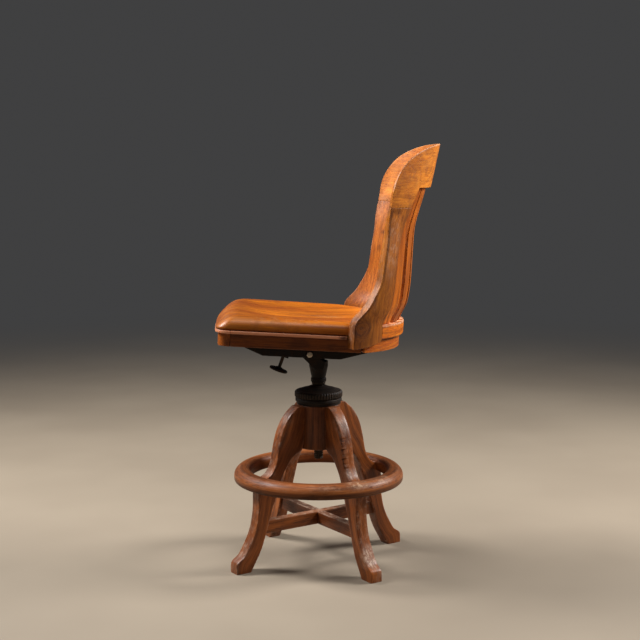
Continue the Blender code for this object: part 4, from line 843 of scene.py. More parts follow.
class Workshop:
    """Turns shapes into finished pieces that ride on the frame's bodies."""

    def __init__(self, frame: dict[str, Any]) -> None:
        """Reads the joints' places from the frame.
        """
        self.nodes: dict[str, bpy.types.Object] = frame["nodes"]
        self.finishes = Finishes()
        self.pieces: list[tuple[str, str, str]] = []
        joints = {joint["name"]: joint for joint in frame["joints"]}
        self.axis = Vector((0.0, joints["seat_swivel"]["pos_m"][1], 0.0))
        self.base_place = Matrix.Translation(self.axis)
        self.seat_place, self.rod_place = (
            Matrix.Translation(Vector(joints[name]["pos_m"])) @ Matrix.Rotation(-lean, 4, 'X')
            for name, lean in (("seat_tilt", RAKE), ("tension_turn", RAKE + ROD_LEAN)))

    def add(self, name: str, shape: Shape, place: Matrix, body: Body | None, finish: Finish, *nodes: str,
            smooth: float = 40.0) -> bpy.types.Object:
        """Turns a shape into a finished piece.

        Args:
            name: Name of the piece.
            shape: Its surface.
            place: Where its own frame stands.
            body: Body that it moves with, or None to leave it unattached.
            finish: Its finish.
            nodes: Frame nodes that it stands for.
            smooth: Angle in degrees above which an edge stays sharp.

        Returns:
            The piece.
        """
        mesh = bpy.data.meshes.new(name)
        mesh.from_pydata(shape.points.tolist(), [], shape.faces)
        store(mesh, "grain", shape.flow(shape.points))
        for key in WEAR_SHEEN_AND_SHADE:
            store(mesh, key, getattr(shape, key))
        work = bmesh.new()
        work.from_mesh(mesh)
        bmesh.ops.recalc_face_normals(work, faces=work.faces)
        work.to_mesh(mesh)
        work.free()
        obj = self._object(name, mesh)
        if shape.levels:
            smoothing = obj.modifiers.new("smooth", 'SUBSURF')
            smoothing.levels = smoothing.render_levels = shape.levels
            bake(obj)
        obj.data.shade_smooth()
        if not shape.levels:
            obj.data.set_sharp_from_angle(angle=math.radians(smooth))
        self._mark(obj)
        obj.data.transform(place)
        return self._settle(obj, body, finish, *nodes)

    def cast(self, name: str, node: str, body: Body, voxel: float) -> None:
        """Makes a cast piece with soft edges from a frame node's solid.

        Args:
            name: Name of the piece.
            node: Frame node whose solid is softened.
            body: Body that it moves with.
            voxel: Size of the remeshed faces.
        """
        obj = self._object(name, self.nodes[node].data.copy())
        remesh = obj.modifiers.new("cast", 'REMESH')
        remesh.mode = 'VOXEL'
        remesh.voxel_size = voxel
        soften = obj.modifiers.new("soften", 'SMOOTH')
        soften.factor = 0.5
        soften.iterations = 3
        bake(obj)
        obj.data.shade_smooth()
        store_plain(obj.data, np.copy)
        self._settle(obj, body, IRON, node)

    def dress_nodes(self) -> None:
        """Gives the frame nodes that still show their own finishes."""
        for name, obj in self.nodes.items():
            if obj.hide_render:
                continue
            wood = name in PLAIN_WOOD
            finish = OAK_PLAIN if wood else IRON if name in PLAIN_IRON else STEEL
            store_plain(obj.data, straight(Axis.X if wood else Axis.Z, PLAIN_FIGURE))
            self.finishes.put_on(obj.data, finish)
            self.pieces.append((name, "its own body", finish.slot))

    @staticmethod
    def _object(name: str, mesh: bpy.types.Mesh) -> bpy.types.Object:
        """Puts a mesh into the scene as a new object.

        Args:
            name: Name of the object.
            mesh: Its mesh.

        Returns:
            The object.
        """
        obj = bpy.data.objects.new(name, mesh)
        bpy.context.scene.collection.objects.link(obj)
        return obj

    @staticmethod
    def _mark(obj: bpy.types.Object) -> None:
        """Puts a piece's pale and dark marks on its points: wear and painted sheen, stains and painted shade.

        Args:
            obj: The piece, still in its own frame.
        """
        points = read_points(obj.data)
        for key in ("worn", "stain"):
            values = np.zeros(len(points))
            obj.data.attributes[key].data.foreach_get("value", values)
            for mark in MARKS.get(obj.name, ()):
                reach = np.linalg.norm((points - np.array(mark.centre)) / np.array(mark.size), axis=1)
                share = np.clip(MARK_FADE - MARK_FADE * reach, 0.0, 1.0)
                values = np.maximum(values, share * getattr(mark, key))
            store(obj.data, key, values)

    def _settle(self, obj: bpy.types.Object, body: Body | None, finish: Finish, *nodes: str) -> bpy.types.Object:
        """Gives a piece its material, body and frame nodes.

        Args:
            obj: The piece.
            body: Body that it moves with, or None to leave it unattached.
            finish: Its finish.
            nodes: Frame nodes that it stands for.

        Returns:
            The piece.
        """
        self.finishes.put_on(obj.data, finish)
        if body:
            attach(obj, body.value)
        if nodes:
            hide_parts(*nodes)
        self.pieces.append((obj.name, body.value if body else "two bodies", finish.slot))
        return obj


@dataclass
class Assembly:
    """A sub-assembly of the stool, with its sizes as fields."""

    shop: Workshop

    def build(self) -> None:
        """Builds the pieces of the sub-assembly."""
        raise NotImplementedError


LEG_OUTER = np.array((
    (0.268, 0.0), (0.268, 0.003), (0.268, 0.020), (0.2665, 0.0275), (0.262, 0.0325), (0.246, 0.0435),
    (0.2295, 0.069), (0.2136, 0.100), (0.2041, 0.132), (0.1995, 0.170), (0.1993, 0.205), (0.1950, 0.234),
    (0.1620, 0.252), (0.1441, 0.284), (0.1375, 0.3187), (0.1275, 0.3587), (0.1060, 0.3985), (0.0800, 0.4225),
    (0.0740, 0.4267)))
LEG_INNER = np.array((
    (0.224, 0.0), (0.2232, 0.002), (0.218, 0.0105), (0.2135, 0.018), (0.209, 0.026), (0.202, 0.038),
    (0.194, 0.053), (0.1812, 0.086), (0.1722, 0.114), (0.161, 0.150), (0.150, 0.180), (0.136, 0.217),
    (0.1251, 0.247), (0.1071, 0.275), (0.088, 0.296), (0.063, 0.309), (0.056, 0.340), (0.056, 0.400),
    (0.056, 0.4267)))
LEG_COLUMNS = (0.0, 0.10, 0.30, 0.50, 0.70, 0.90, 1.0)
STRETCHER_ROWS = np.array((-1.0, -0.99, -0.5, 0.0, 0.5, 0.99, 1.0))


@dataclass
class Base(Assembly):
    """Post, legs, foot ring and crossed stretchers."""

    turn: float = math.radians(33.1)
    legs: int = 4
    leg_thickness: float = 0.0346
    leg_rim: float = 0.11
    leg_step: float = 0.25
    nicked_leg: int = 0
    nicks: int = 8
    nick_depth: float = 0.0085
    nick_slant: float = 0.45
    nick_stain: float = 0.95
    nick_start: float = 12.5
    nick_run: float = 2.7
    nick_rows: Triple = (12.2, 15.4, 0.045)
    post_bore: float = 0.0137
    post_radius: float = 0.0590
    post_bottom: float = 0.3090
    post_top: float = 0.4270
    post_round: float = 0.0035
    ring_outer: float = 0.2286
    ring_width: float = 0.0460
    ring_height: float = 0.0370
    ring_mid: float = 0.2355
    ring_round: float = 0.0085
    ring_ease: float = 0.0135
    ring_inner_ease: float = 0.7
    ring_bend: float = 0.205
    ring_edge: float = 0.6
    ring_stain: float = 0.70
    ring_stain_share: float = 0.28
    stretcher_top: float = 0.1300
    stretcher_height: float = 0.0340
    stretcher_thickness: float = 0.0230
    stretcher_reach: float = 0.1880
    stretcher_ease: float = 0.002
    stretcher_trims: Pair = (0.0006, 0.0)
    stretcher_wear: float = 0.55
    dull: float = 0.30

    def build(self) -> None:
        """Builds post, legs, foot ring and stretchers."""
        corners = sleeve(self.post_bore, self.post_radius, self.post_bottom, self.post_top)
        post = lathe(corners, self.post_round, 96, shift=2.1)
        # Painted shade over the whole post.
        post.stain += self.dull
        self.shop.add("post", post, self.shop.base_place, Body.BASE, OAK_LEG, "hub_post")
        for index in range(self.legs):
            self._leg(index)
        self._ring()
        for index, name in enumerate(("stretcher_lower", "stretcher_upper")):
            self._stretcher(index, name)

    def _turned(self, angle: float) -> Matrix:
        """Place on the base, turned about the swivel axis."""
        return self.shop.base_place @ Matrix.Rotation(self.turn + angle, 4, 'Z')

    def _leg(self, index: int) -> None:
        """Builds one leg between its inner and outer lines.

        Args:
            index: Number of the leg, from 0.
        """
        half, nicked = self.leg_thickness / 2, index == self.nicked_leg
        stops = np.arange(0.0, len(LEG_OUTER) - 0.99, self.leg_step)
        if nicked:
            stops = np.union1d(stops, np.arange(*self.nick_rows).round(3))
        inner, outer = smooth_line(LEG_INNER, stops), smooth_line(LEG_OUTER, stops)

        def place(row: int, share: float, face: int) -> Triple:
            """Point between the two lines, on one side of the leg."""
            x, z = lerp(inner[row], outer[row], share)
            return x, lerp(half, -half, face), z

        flow = along_line((LEG_OUTER + LEG_INNER) / 2, 4.0 * index + 0.7)
        leg = board(range(len(stops)), LEG_COLUMNS, place, flow, self.leg_rim, 1)
        if nicked:
            count = len(stops) * len(LEG_COLUMNS)
            self._nick(leg.points[count:2 * count], leg.stain[count:2 * count], stops)
        self.shop.add(f"oak_leg_{index + 1}", leg, self._turned(math.tau * index / self.legs), Body.BASE, OAK_LEG,
                      f"leg_{index + 1}")

    def _nick(self, points: np.ndarray, stain: np.ndarray, stops: np.ndarray) -> None:
        """Cuts a row of saw-tooth nicks into the corner of a leg's outer edge, with painted shade in them.

        Args:
            points: Points of the leg's inner face, row by row, changed in place.
            stain: Dark layer of those points, changed in place, with painted shade in the nicks.
            stops: Station of each row.
        """
        run = np.clip((stops - self.nick_start) / self.nick_run, 0.0, 1.0)
        uneven = np.sin(np.pi * run) ** 0.5 * (0.7 + 0.3 * np.sin(run * 23.0))
        tooth = np.mod(run * self.nicks, 1.0) ** 1.5 * uneven
        grid = points.reshape(len(stops), -1, 3)
        grid[:, -1, 0] -= self.nick_depth * tooth
        grid[:, -1, 1] += self.nick_slant * self.nick_depth * tooth
        # Painted shade, deepest where the nick is deepest.
        stain.reshape(len(stops), -1)[:, -1] = self.nick_stain * tooth

    def _ring(self) -> None:
        """Builds the bent foot ring: upright sides, rounded top."""
        low, high = self.ring_mid - self.ring_height / 2, self.ring_mid + self.ring_height / 2
        outside, inside = self.ring_outer, self.ring_outer - self.ring_width
        soft, less = self.ring_ease, self.ring_ease * self.ring_inner_ease
        start = self.turn + math.pi
        corners = ((inside, low), (outside, low), (outside, high - soft), (outside - soft, high),
                   (inside + less, high), (inside, high - less))
        profile, edge = fillet(corners, self.ring_round, 6, True)

        def flow(points: np.ndarray) -> np.ndarray:
            """Measures each point round the ring from the seam where its ends meet.

            Args:
                points: Points, one row each.

            Returns:
                Their grain coordinates.
            """
            angle = np.mod(np.arctan2(points[:, 1], points[:, 0]) - start + 1e-6, math.tau)
            angle[-len(profile):] = math.tau
            return np.column_stack((angle * self.ring_bend, np.hypot(points[:, 0], points[:, 1]), points[:, 2]))

        ring = turned(profile, edge * self.ring_edge, 192, flow, phase=start, seam=True)
        # Painted shade over the ring's lower part, darkest at its underside.
        depth = (self.ring_mid - ring.points[:, 2]) / (self.ring_stain_share * self.ring_height)
        ring.stain = self.ring_stain * np.clip(depth, 0.0, 1.0)
        self.shop.add("oak_foot_ring", ring, self.shop.base_place, Body.BASE, OAK_RING, "foot_ring")

    def _stretcher(self, index: int, name: str) -> None:
        """Builds one of the two crossed stretchers.

        Args:
            index: 0 for the lower, 1 for the upper.
            name: Name of its node.
        """
        half, trim = self.stretcher_thickness / 2, self.stretcher_trims[index]
        high, low = self.stretcher_top - trim, self.stretcher_top - self.stretcher_height + trim
        inner = 0.4 * self.stretcher_height - trim
        heights = (low, low + self.stretcher_ease, low + inner, high - inner, high - self.stretcher_ease, high)

        def place(x: float, z: float, face: int) -> Triple:
            """Point on one side of the bar."""
            return x, lerp(half, -half, face), z

        bar = board(STRETCHER_ROWS * self.stretcher_reach, heights, place, straight(Axis.X, 6.0 + 3.0 * index), 0.09)
        # Painted shade over the whole stretcher.
        bar.stain += self.dull
        # Pale top face: wear, and painted sheen where light falls on it.
        bar.worn = self.stretcher_wear * (bar.points[:, 2] > high - 0.001)
        self.shop.add(f"oak_{name}", bar, self._turned(index * math.pi / 2), Body.BASE, OAK_LEG, name)


@dataclass
class Lift(Assembly):
    """Hub plate, hand wheel, height screw and washer."""

    clearance: float = 0.0003
    screw_radius: float = 0.0127
    screw_bottom: float = 0.2750
    screw_chamfer: float = 0.003
    screw_pitch: float = 0.0127
    screw_step: float = 0.0009
    thread_depth: float = 0.0014
    thread_slope: float = 2.6
    thread_root: float = 0.35
    keyway_width: float = 0.0070
    keyway_depth: float = 0.0036
    key_top: float = 0.4160
    journal_radius: float = 0.0105
    journal_top: float = 0.5289
    tip_radius: float = 0.0088
    screw_top: float = 0.5400
    screw_wear: float = 0.35
    shoulder: float = 0.4793
    plate_bore: float = 0.0132
    plate_bottom: float = 0.4273
    plate_radius: float = 0.0625
    plate_top: float = 0.4433
    plate_round: float = 0.0016
    sleeve_radius: float = 0.020
    sleeve_bottom: float = 0.352
    lip_radius: float = 0.0595
    lip_top: float = 0.4343
    wheel_radius: float = 0.0645
    wheel_bottom: float = 0.4438
    wheel_rim_top: float = 0.4628
    wheel_top: float = 0.4768
    wheel_round: float = 0.0022
    wheel_boss: float = 0.0185
    wheel_dish: tuple[Pair, ...] = ((0.0545, 0.0012), (0.046, 0.0046), (0.030, 0.0088), (0.021, 0.0128))
    flutes: int = 52
    flute_steps: int = 8
    flute_depth: float = 0.0019
    flute_start: float = 0.0045
    flute_run: float = 0.0040
    flute_wear: float = 1.6
    flute_rub: Pair = (0.0022, 0.0014)
    washer_bottom: float = 0.4796
    washer_top: float = 0.4856
    washer_radius: float = 0.0185
    washer_round: float = 0.001

    def build(self) -> None:
        """Builds hub plate, fluted hand wheel, threaded screw and washer."""
        place = self.shop.base_place
        corners = ((self.plate_bore, self.sleeve_bottom), (self.sleeve_radius, self.sleeve_bottom),
                   (self.sleeve_radius, self.plate_bottom), (self.lip_radius, self.plate_bottom),
                   (self.lip_radius, self.lip_top), (self.plate_radius, self.lip_top),
                   (self.plate_radius, self.plate_top), (self.plate_bore, self.plate_top))
        self.shop.add("iron_hub_plate", lathe(corners, self.plate_round, 96), place, Body.BASE, IRON, "hub_plate")
        self._wheel()
        self._screw()
        bore = self.journal_radius + self.clearance
        corners = sleeve(bore, self.washer_radius, self.washer_bottom, self.washer_top)
        self.shop.add("steel_washer", lathe(corners, self.washer_round, 64), place, Body.SPINDLE, STEEL,
                      "swivel_washer")

    def _wheel(self) -> None:
        """Builds the hand wheel: fluted rim, dished top and raised boss."""
        bore = self.screw_radius + self.clearance
        rim, bottom, top = self.wheel_radius, self.wheel_bottom, self.wheel_rim_top
        corners = ((bore, bottom), (rim - 0.004, bottom), (rim, bottom + 0.0035), (rim, bottom + 0.0075),
                   (rim, top - 0.0040), (rim - 0.0035, top), *((r, top + rise) for r, rise in self.wheel_dish),
                   (self.wheel_boss, self.wheel_top), (bore, self.wheel_top))

        def flute(angle: float, radius: np.ndarray, _: np.ndarray) -> np.ndarray:
            """Cuts the flutes into the rim."""
            cut = np.clip((radius - (rim - self.flute_start)) / self.flute_run, 0.0, 1.0)
            return radius - self.flute_depth * cut * (0.5 - 0.5 * math.cos(angle * self.flutes)) ** 2

        wheel = lathe(corners, self.wheel_round, self.flutes * self.flute_steps, turn=flute)
        reach = np.hypot(wheel.points[:, 0], wheel.points[:, 1])
        begin, run = self.flute_rub
        rub = self.flute_wear * np.clip((reach - rim + run) / run, 0.0, 1.0)
        wheel.edge = np.where(reach > rim - begin, rub, wheel.edge)
        self.shop.add("iron_hand_wheel", wheel, self.shop.base_place, Body.WHEEL, IRON, "hand_wheel", smooth=50.0)

    def _screw(self) -> None:
        """Builds the threaded height screw with its keyway."""
        low, radius = self.screw_bottom, self.screw_radius
        heights = np.arange(low + 0.0012, self.shoulder - 0.0004, self.screw_step)
        profile = np.array(((0.0, low), (radius - self.screw_chamfer, low), *((radius, z) for z in heights),
                            (radius, self.shoulder), (self.journal_radius, self.shoulder),
                            (self.journal_radius, self.journal_top), (self.tip_radius, self.journal_top + 0.0001),
                            (self.tip_radius, self.screw_top), (0.0, self.screw_top)))
        screw = turned(profile, np.full(len(profile), self.screw_wear), 72, straight(Axis.Z), False, self._thread)
        self.shop.add("steel_height_screw", screw, self.shop.base_place, Body.SPINDLE, STEEL, "height_screw",
                      smooth=55.0)

    def _thread(self, angle: float, radius: np.ndarray, height: np.ndarray) -> np.ndarray:
        """Cuts a two-start thread and the keyway into the screw.

        Args:
            angle: Angle round the axis.
            radius: Radius of each point of the profile.
            height: Height of each point.

        Returns:
            The radius after the cuts.
        """
        phase = np.mod(height / (self.screw_pitch / 2) - angle / math.tau, 1.0)
        land = np.clip(self.thread_slope * (0.5 - np.abs(phase - 0.5)) - self.thread_root, 0.0, 1.0)
        outside = (radius > self.journal_radius + 1e-4) & (height > self.screw_bottom + 0.001)
        cut = np.where(outside, radius - self.thread_depth * (1 - land), radius)
        if math.cos(angle) <= 0:
            return cut
        flat = (np.abs(radius * math.sin(angle)) < self.keyway_width / 2) & (height < self.key_top)
        floor = (self.screw_radius - self.keyway_depth) / max(math.cos(angle), 0.1)
        return np.where(flat, np.minimum(cut, floor), cut)


@dataclass
class Tilt(Assembly):
    """Socket, seat iron, tension screw, tilt pin and spring."""

    clearance: float = 0.0003
    socket_voxel: float = 0.0011
    iron_voxel: float = 0.0017
    rod_tip: float = -0.0054
    rod_radius: float = 0.0045
    rod_end: float = 0.1198
    rod_head_radius: float = 0.0085
    rod_head: float = 0.0050
    rod_round: float = 0.0010
    disc_radius: float = 0.0250
    disc_thickness: float = 0.0060
    disc_round: float = 0.0024
    hub_radius: float = 0.0095
    hub_length: float = 0.0100
    hub_flare: Pair = (0.004, 0.0022)
    spring_low: float = 0.0510
    spring_high: float = 0.0952
    spring_radius: float = 0.0105
    spring_turns: int = 6
    spring_split: int = 2
    spring_steps: int = 36
    spring_wear: float = 0.2
    wire_radius: float = 0.0017
    wire_steps: int = 12
    pin_tip: float = -0.0494
    pin_radius: float = 0.0060
    pin_head_radius: float = 0.0080
    pin_head: float = 0.0055
    pin_round: float = 0.0022
    plate_outer: float = 0.0395

    def build(self) -> None:
        """Builds the castings, then rod, disc and pin, then the spring."""
        shop = self.shop
        shop.cast("iron_socket", "tilt_socket", Body.HEAD, self.socket_voxel)
        shop.cast("iron_seat_frame", "seat_iron", Body.SEAT, self.iron_voxel)
        corners = bolt(self.rod_tip, self.rod_radius, self.rod_end, self.rod_head_radius, self.rod_head)
        rod = lathe(corners, self.rod_round, 40, closed=False)
        shop.add("steel_tension_rod", rod, shop.rod_place, Body.TENSION, STEEL, "tension_rod")
        low, high = -self.disc_thickness / 2, self.disc_thickness / 2
        bore, hub, top = self.rod_radius + self.clearance, self.hub_radius, low + self.hub_length
        flare, rise = self.hub_flare
        disc = lathe(((bore, low), (self.disc_radius, low), (self.disc_radius, high), (hub + flare, high),
                      (hub, high + rise), (hub, top), (bore, top)), self.disc_round, 72, 5)
        shop.add("iron_tension_disc", disc, shop.rod_place, Body.TENSION, IRON, "tension_disc")
        corners = bolt(self.pin_tip, self.pin_radius, self.plate_outer + self.clearance, self.pin_head_radius,
                       self.pin_head)
        pin = lathe(corners, self.pin_round, 48, 5, closed=False)
        across = shop.seat_place @ Matrix.Rotation(math.pi / 2, 4, 'Y')
        shop.add("bright_tilt_pin", pin, across, Body.SEAT, BRIGHT, "tilt_pin")
        self._spring()

    def _spring(self) -> None:
        """Builds the round wire of the spring in a lower and an upper length."""
        turns = np.linspace(0.0, self.spring_turns, self.spring_turns * self.spring_steps + 1)
        heights = lerp(self.spring_low, self.spring_high, turns / self.spring_turns)
        around, wire = turns[:, None] * math.tau, np.linspace(0.0, math.tau, self.wire_steps + 1)[:-1]
        reach = self.spring_radius + self.wire_radius * np.cos(wire)
        rings = np.dstack((reach * np.cos(around), reach * np.sin(around),
                           heights[:, None] + self.wire_radius * np.sin(wire)))
        split = self.spring_split * self.spring_steps
        place = self.shop.rod_place
        for name, part, bodies in (("steel_spring_lower", rings[:split + 1], (Body.NUT, Body.SEAT)),
                                   ("steel_tilt_spring", rings[split:], (Body.SEAT, Body.HEAD))):
            shape = loft(part, straight(Axis.Z), np.full(part.shape[:2], self.spring_wear))
            spring = self.shop.add(name, shape, place, None, STEEL, "tilt_spring")
            start, end = (place @ Vector((0.0, 0.0, part[i, :, 2].mean() + inward))
                          for i, inward in ((0, self.wire_radius), (-1, -self.wire_radius)))
            tuple(start)
            tuple(end)
            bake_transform(spring)


@dataclass
class SeatFrame(Assembly):
    """Sizes that seat and back share, in the seat's own frame."""

    apron_half: float = 0.2088
    back_rear: float = 0.2463
    foot_setback: float = 0.1426
    stile_ear: float = 0.0318
    rail_thickness: float = 0.0300
    gap: float = 0.0003
    grain_back: float = 0.02
    grain_radius: float = 0.29

    @property
    def foot_radius(self) -> float:
        """Plan radius of the back at the seat."""
        half = self.apron_half + self.stile_ear
        return (half ** 2 + self.foot_setback ** 2) / (2 * self.foot_setback)

    @property
    def arc_y(self) -> float:
        """Place of the centre of the seat's rear arc."""
        return self.back_rear - self.foot_radius

    def fit(self, node: str, shape: Shape, finish: Finish, name: str = "") -> None:
        """Adds a piece of the seat that stands for one node."""
        self.shop.add(name or f"oak_{node}", shape, self.shop.seat_place, Body.SEAT, finish, node)

    def round_flow(self, shift: float) -> Flow:
        """Grain that runs round the back.

        Args:
            shift: Offset that gives a board its own figure.

        Returns:
            Function from points to grain coordinates.
        """
        centre = self.arc_y - self.grain_back

        def flow(points: np.ndarray) -> np.ndarray:
            """Measures each point round the centre of the back."""
            x, y = points[:, 0], points[:, 1] - centre
            return np.column_stack((np.arctan2(x, y) * self.grain_radius + shift, points[:, 2] + 0.3 * shift,
                                    np.hypot(x, y)))

        return flow


@dataclass
class Seat(SeatFrame):
    """Aprons, beads and the dished panel."""

    apron_front: float = -0.2375
    apron_corner: float = 0.0300
    apron_bow: float = 0.0060
    apron_thickness: float = 0.0220
    apron_bottom: float = 0.0363
    apron_top: float = 0.0693
    apron_joint: float = -0.2050
    apron_setback: float = 0.0100
    apron_ease: float = 0.0025
    apron_rim: float = 0.10
    apron_stain: float = 0.70
    inset: float = 0.0035
    bead_bottom: float = 0.0696
    bead_top: float = 0.0776
    bead_nose: float = 0.0065
    bead_front_nose: float = 0.0045
    bead_width: float = 0.0300
    bead_end: float = 0.0889
    bead_rim: float = 0.42
    bead_stain: float = 0.6
    bead_columns: tuple[float, ...] = (0.0, 0.4, 0.72, 0.88, 1.0)
    panel_bottom: float = 0.0779
    panel_top: float = 0.1119
    panel_lip: float = 0.0100
    panel_lip_ease: float = 0.45
    panel_round: float = 0.0390
    panel_roll: tuple[int, ...] = (0, 18, 36, 54, 70, 82)
    panel_dish: float = 0.0120
    panel_rings: tuple[float, ...] = (1.0, 0.93, 0.84, 0.74, 0.62, 0.5, 0.38, 0.26, 0.14, 0.05)
    panel_ridge: float = 0.0030
    panel_clear: float = 0.0008
    panel_nose: float = 0.0030
    panel_front_roll: float = 0.55
    panel_front_slope: float = 0.42
    panel_front_dish: float = 0.45
    panel_shade: float = 0.52
    shade_start: float = 0.100
    panel_lift: float = 0.0036
    lift_start: float = -0.120
    lift_end: float = -0.190
    lift_stain: float = 0.42
    roll_stain: Triple = (0.62, 0.0025, 0.012)
    foot_stain: Triple = (0.95, 0.0065, 0.004)

    def build(self) -> None:
        """Builds aprons, beads and panel."""
        self._aprons()
        self._beads()
        self._panel()

    def _front(self, half: float, front: float, corner: float, end: float) -> np.ndarray:
        """Plan line from the left side round the bowed front to the right side.

        Args:
            half: Half width.
            front: Place of the front.
            corner: Corner radius.
            end: Place where the line starts and ends.

        Returns:
            Points (x, y).
        """
        run = half - corner
        arc = [(run + corner * math.cos(a), front + corner - corner * math.sin(a))
               for a in np.linspace(0.0, math.pi / 2, 10)]
        middle = [(x, front - self.apron_bow * (1 - (x / run) ** 2)) for x in np.linspace(run, -run, 25)[1:-1]]
        return np.array([(half, end), *arc, *middle, *((-x, y) for x, y in reversed(arc)), (-half, end)])

    def _rear(self, half: float, radius: float, count: int) -> np.ndarray:
        """Plan line from the right side round the rear arc to the left side.

        Args:
            half: Half width.
            radius: Arc radius.
            count: Points of the line.

        Returns:
            Points (x, y).
        """
        angle = math.asin(half / radius)
        turn = np.linspace(-angle, angle, count)
        return np.column_stack((radius * np.sin(turn), self.arc_y + radius * np.cos(turn)))

    def _aprons(self) -> None:
        """Builds the four upright boards of the seat frame."""
        thick, half, joint = self.apron_thickness, self.apron_half, self.apron_joint
        self._apron("apron_front", self._front(half, self.apron_front, self.apron_corner, joint),
                    self._front(half - thick, self.apron_front + thick, self.apron_corner - thick, joint),
                    straight(Axis.X, 1.0), OAK_APRON_SHADED)
        rear = self.foot_radius - self.apron_setback
        start = self.arc_y + math.sqrt((rear - thick) ** 2 - (half - thick) ** 2)
        stops = np.array((joint + self.gap, joint + 0.003, -0.1, 0.0, 0.07, start - 0.003, start - self.gap))
        for side in Side:
            # The side aprons get painted shade all over, being under the seat's overhang.
            self._apron(f"apron_{side.label}", side_line(side * half, stops), side_line(side * (half - thick), stops),
                        straight(Axis.Y, 5.0 + side), OAK_APRON_SHADED, self.apron_stain)
        # The rear apron takes the brighter seat oak: painted light on the rear.
        self._apron("apron_rear", self._rear(half, rear, 41), self._rear(half - thick, rear - thick, 41),
                    self.round_flow(9.0), OAK_SEAT)

    def _apron(self, node: str, outer: np.ndarray, inner: np.ndarray, flow: Flow, finish: Finish,
               stain: float = 0.0) -> None:
        """Builds one upright board between two plan lines.

        Args:
            node: Frame node that it stands for.
            outer: Plan line of its outer face.
            inner: Plan line of its inner face.
            flow: Its grain.
            finish: Its finish.
            stain: Painted shade over the whole board.
        """
        low, high = self.apron_bottom, self.apron_top
        heights = (low, low + self.apron_ease, lerp(low, high, 0.5), high - self.apron_ease, high)

        def place(row: int, z: float, face: int) -> Triple:
            """Point above one of the two lines."""
            return (*(outer, inner)[face][row], z)

        shape = board(range(len(outer)), heights, place, flow, self.apron_rim)
        shape.stain += stain
        self.fit(node, shape, finish)

    def _beads(self) -> None:
        """Builds the three strips whose nose shows as a bead."""
        nose = self.inset + self.bead_nose
        half, front = self.apron_half + nose, self.apron_front - self.inset - self.bead_front_nose
        slim, joint = self.apron_half + self.inset - self.bead_width, front + self.apron_corner + nose + self.gap
        outer = self._front(half, front, self.apron_corner + nose, joint)
        inner = np.column_stack((outer[:, 0] * slim / half, np.full(len(outer), joint)))
        self._bead("bead_front", outer, inner, straight(Axis.X, 3.0))
        end = self.bead_end
        stops = np.array((joint + self.gap, joint + 0.004, -0.12, -0.05, 0.02, end - 0.004, end))
        for side in Side:
            self._bead(f"bead_{side.label}", side_line(side * half, stops), side_line(side * slim, stops),
                       straight(Axis.Y, 7.0 + side))

    def _bead(self, node: str, outer: np.ndarray, inner: np.ndarray, flow: Flow) -> None:
        """Builds one flat strip between two plan lines, with painted shade on its upper and lower faces but not on
        its nose.

        Args:
            node: Frame node that it stands for.
            outer: Plan line of its nose.
            inner: Plan line of its hidden edge.
            flow: Its grain.
        """
        def place(row: int, share: float, face: int) -> Triple:
            """Point between the lines, on the upper or the lower face."""
            return (*lerp(inner[row], outer[row], share), (self.bead_top, self.bead_bottom)[face])

        shape = board(range(len(outer)), self.bead_columns, place, flow, self.bead_rim)
        # Painted shade in the gaps above and below the bead: both flat faces darkened.
        shape.stain[:2 * len(outer) * len(self.bead_columns)] = self.bead_stain
        self.fit(node, shape, OAK_BEAD_WORN_AND_LIT)

    def _panel(self) -> None:
        """Builds the dished panel, raised towards the front, with painted shade on its rolled edge, in the gap over
        the bead and over the front of its top.
        """
        rings, wear = self._panel_rings()
        panel = loft(rings, straight(Axis.Y, 0.4), wear, 1)
        along, heights = panel.points[:, 1], panel.points[:, 2]
        rise = ease(self.lift_start, self.lift_end, along)
        shade = np.clip((self.shade_start - along) / (self.shade_start - self.lift_end), 0.0, 1.0)
        roll, drop, run = self.roll_stain
        foot, lift, fade = self.foot_stain
        # Painted shade: the lower roll, the foot in the gap over the bead, and the front of the top.
        panel.stain = np.maximum.reduce((
            roll * np.clip((self.panel_top - drop - heights) / run, 0.0, 1.0),
            np.clip((self.panel_bottom + lift - heights) / fade, 0.0, foot),
            self.lift_stain * rise, self.panel_shade * shade))
        base = self.panel_bottom + self.panel_lip
        heights += self.panel_lift * rise * np.clip((heights - base) / (self.panel_top - base), 0.0, 1.0)
        self.fit("seat_panel", panel, OAK_SEAT)

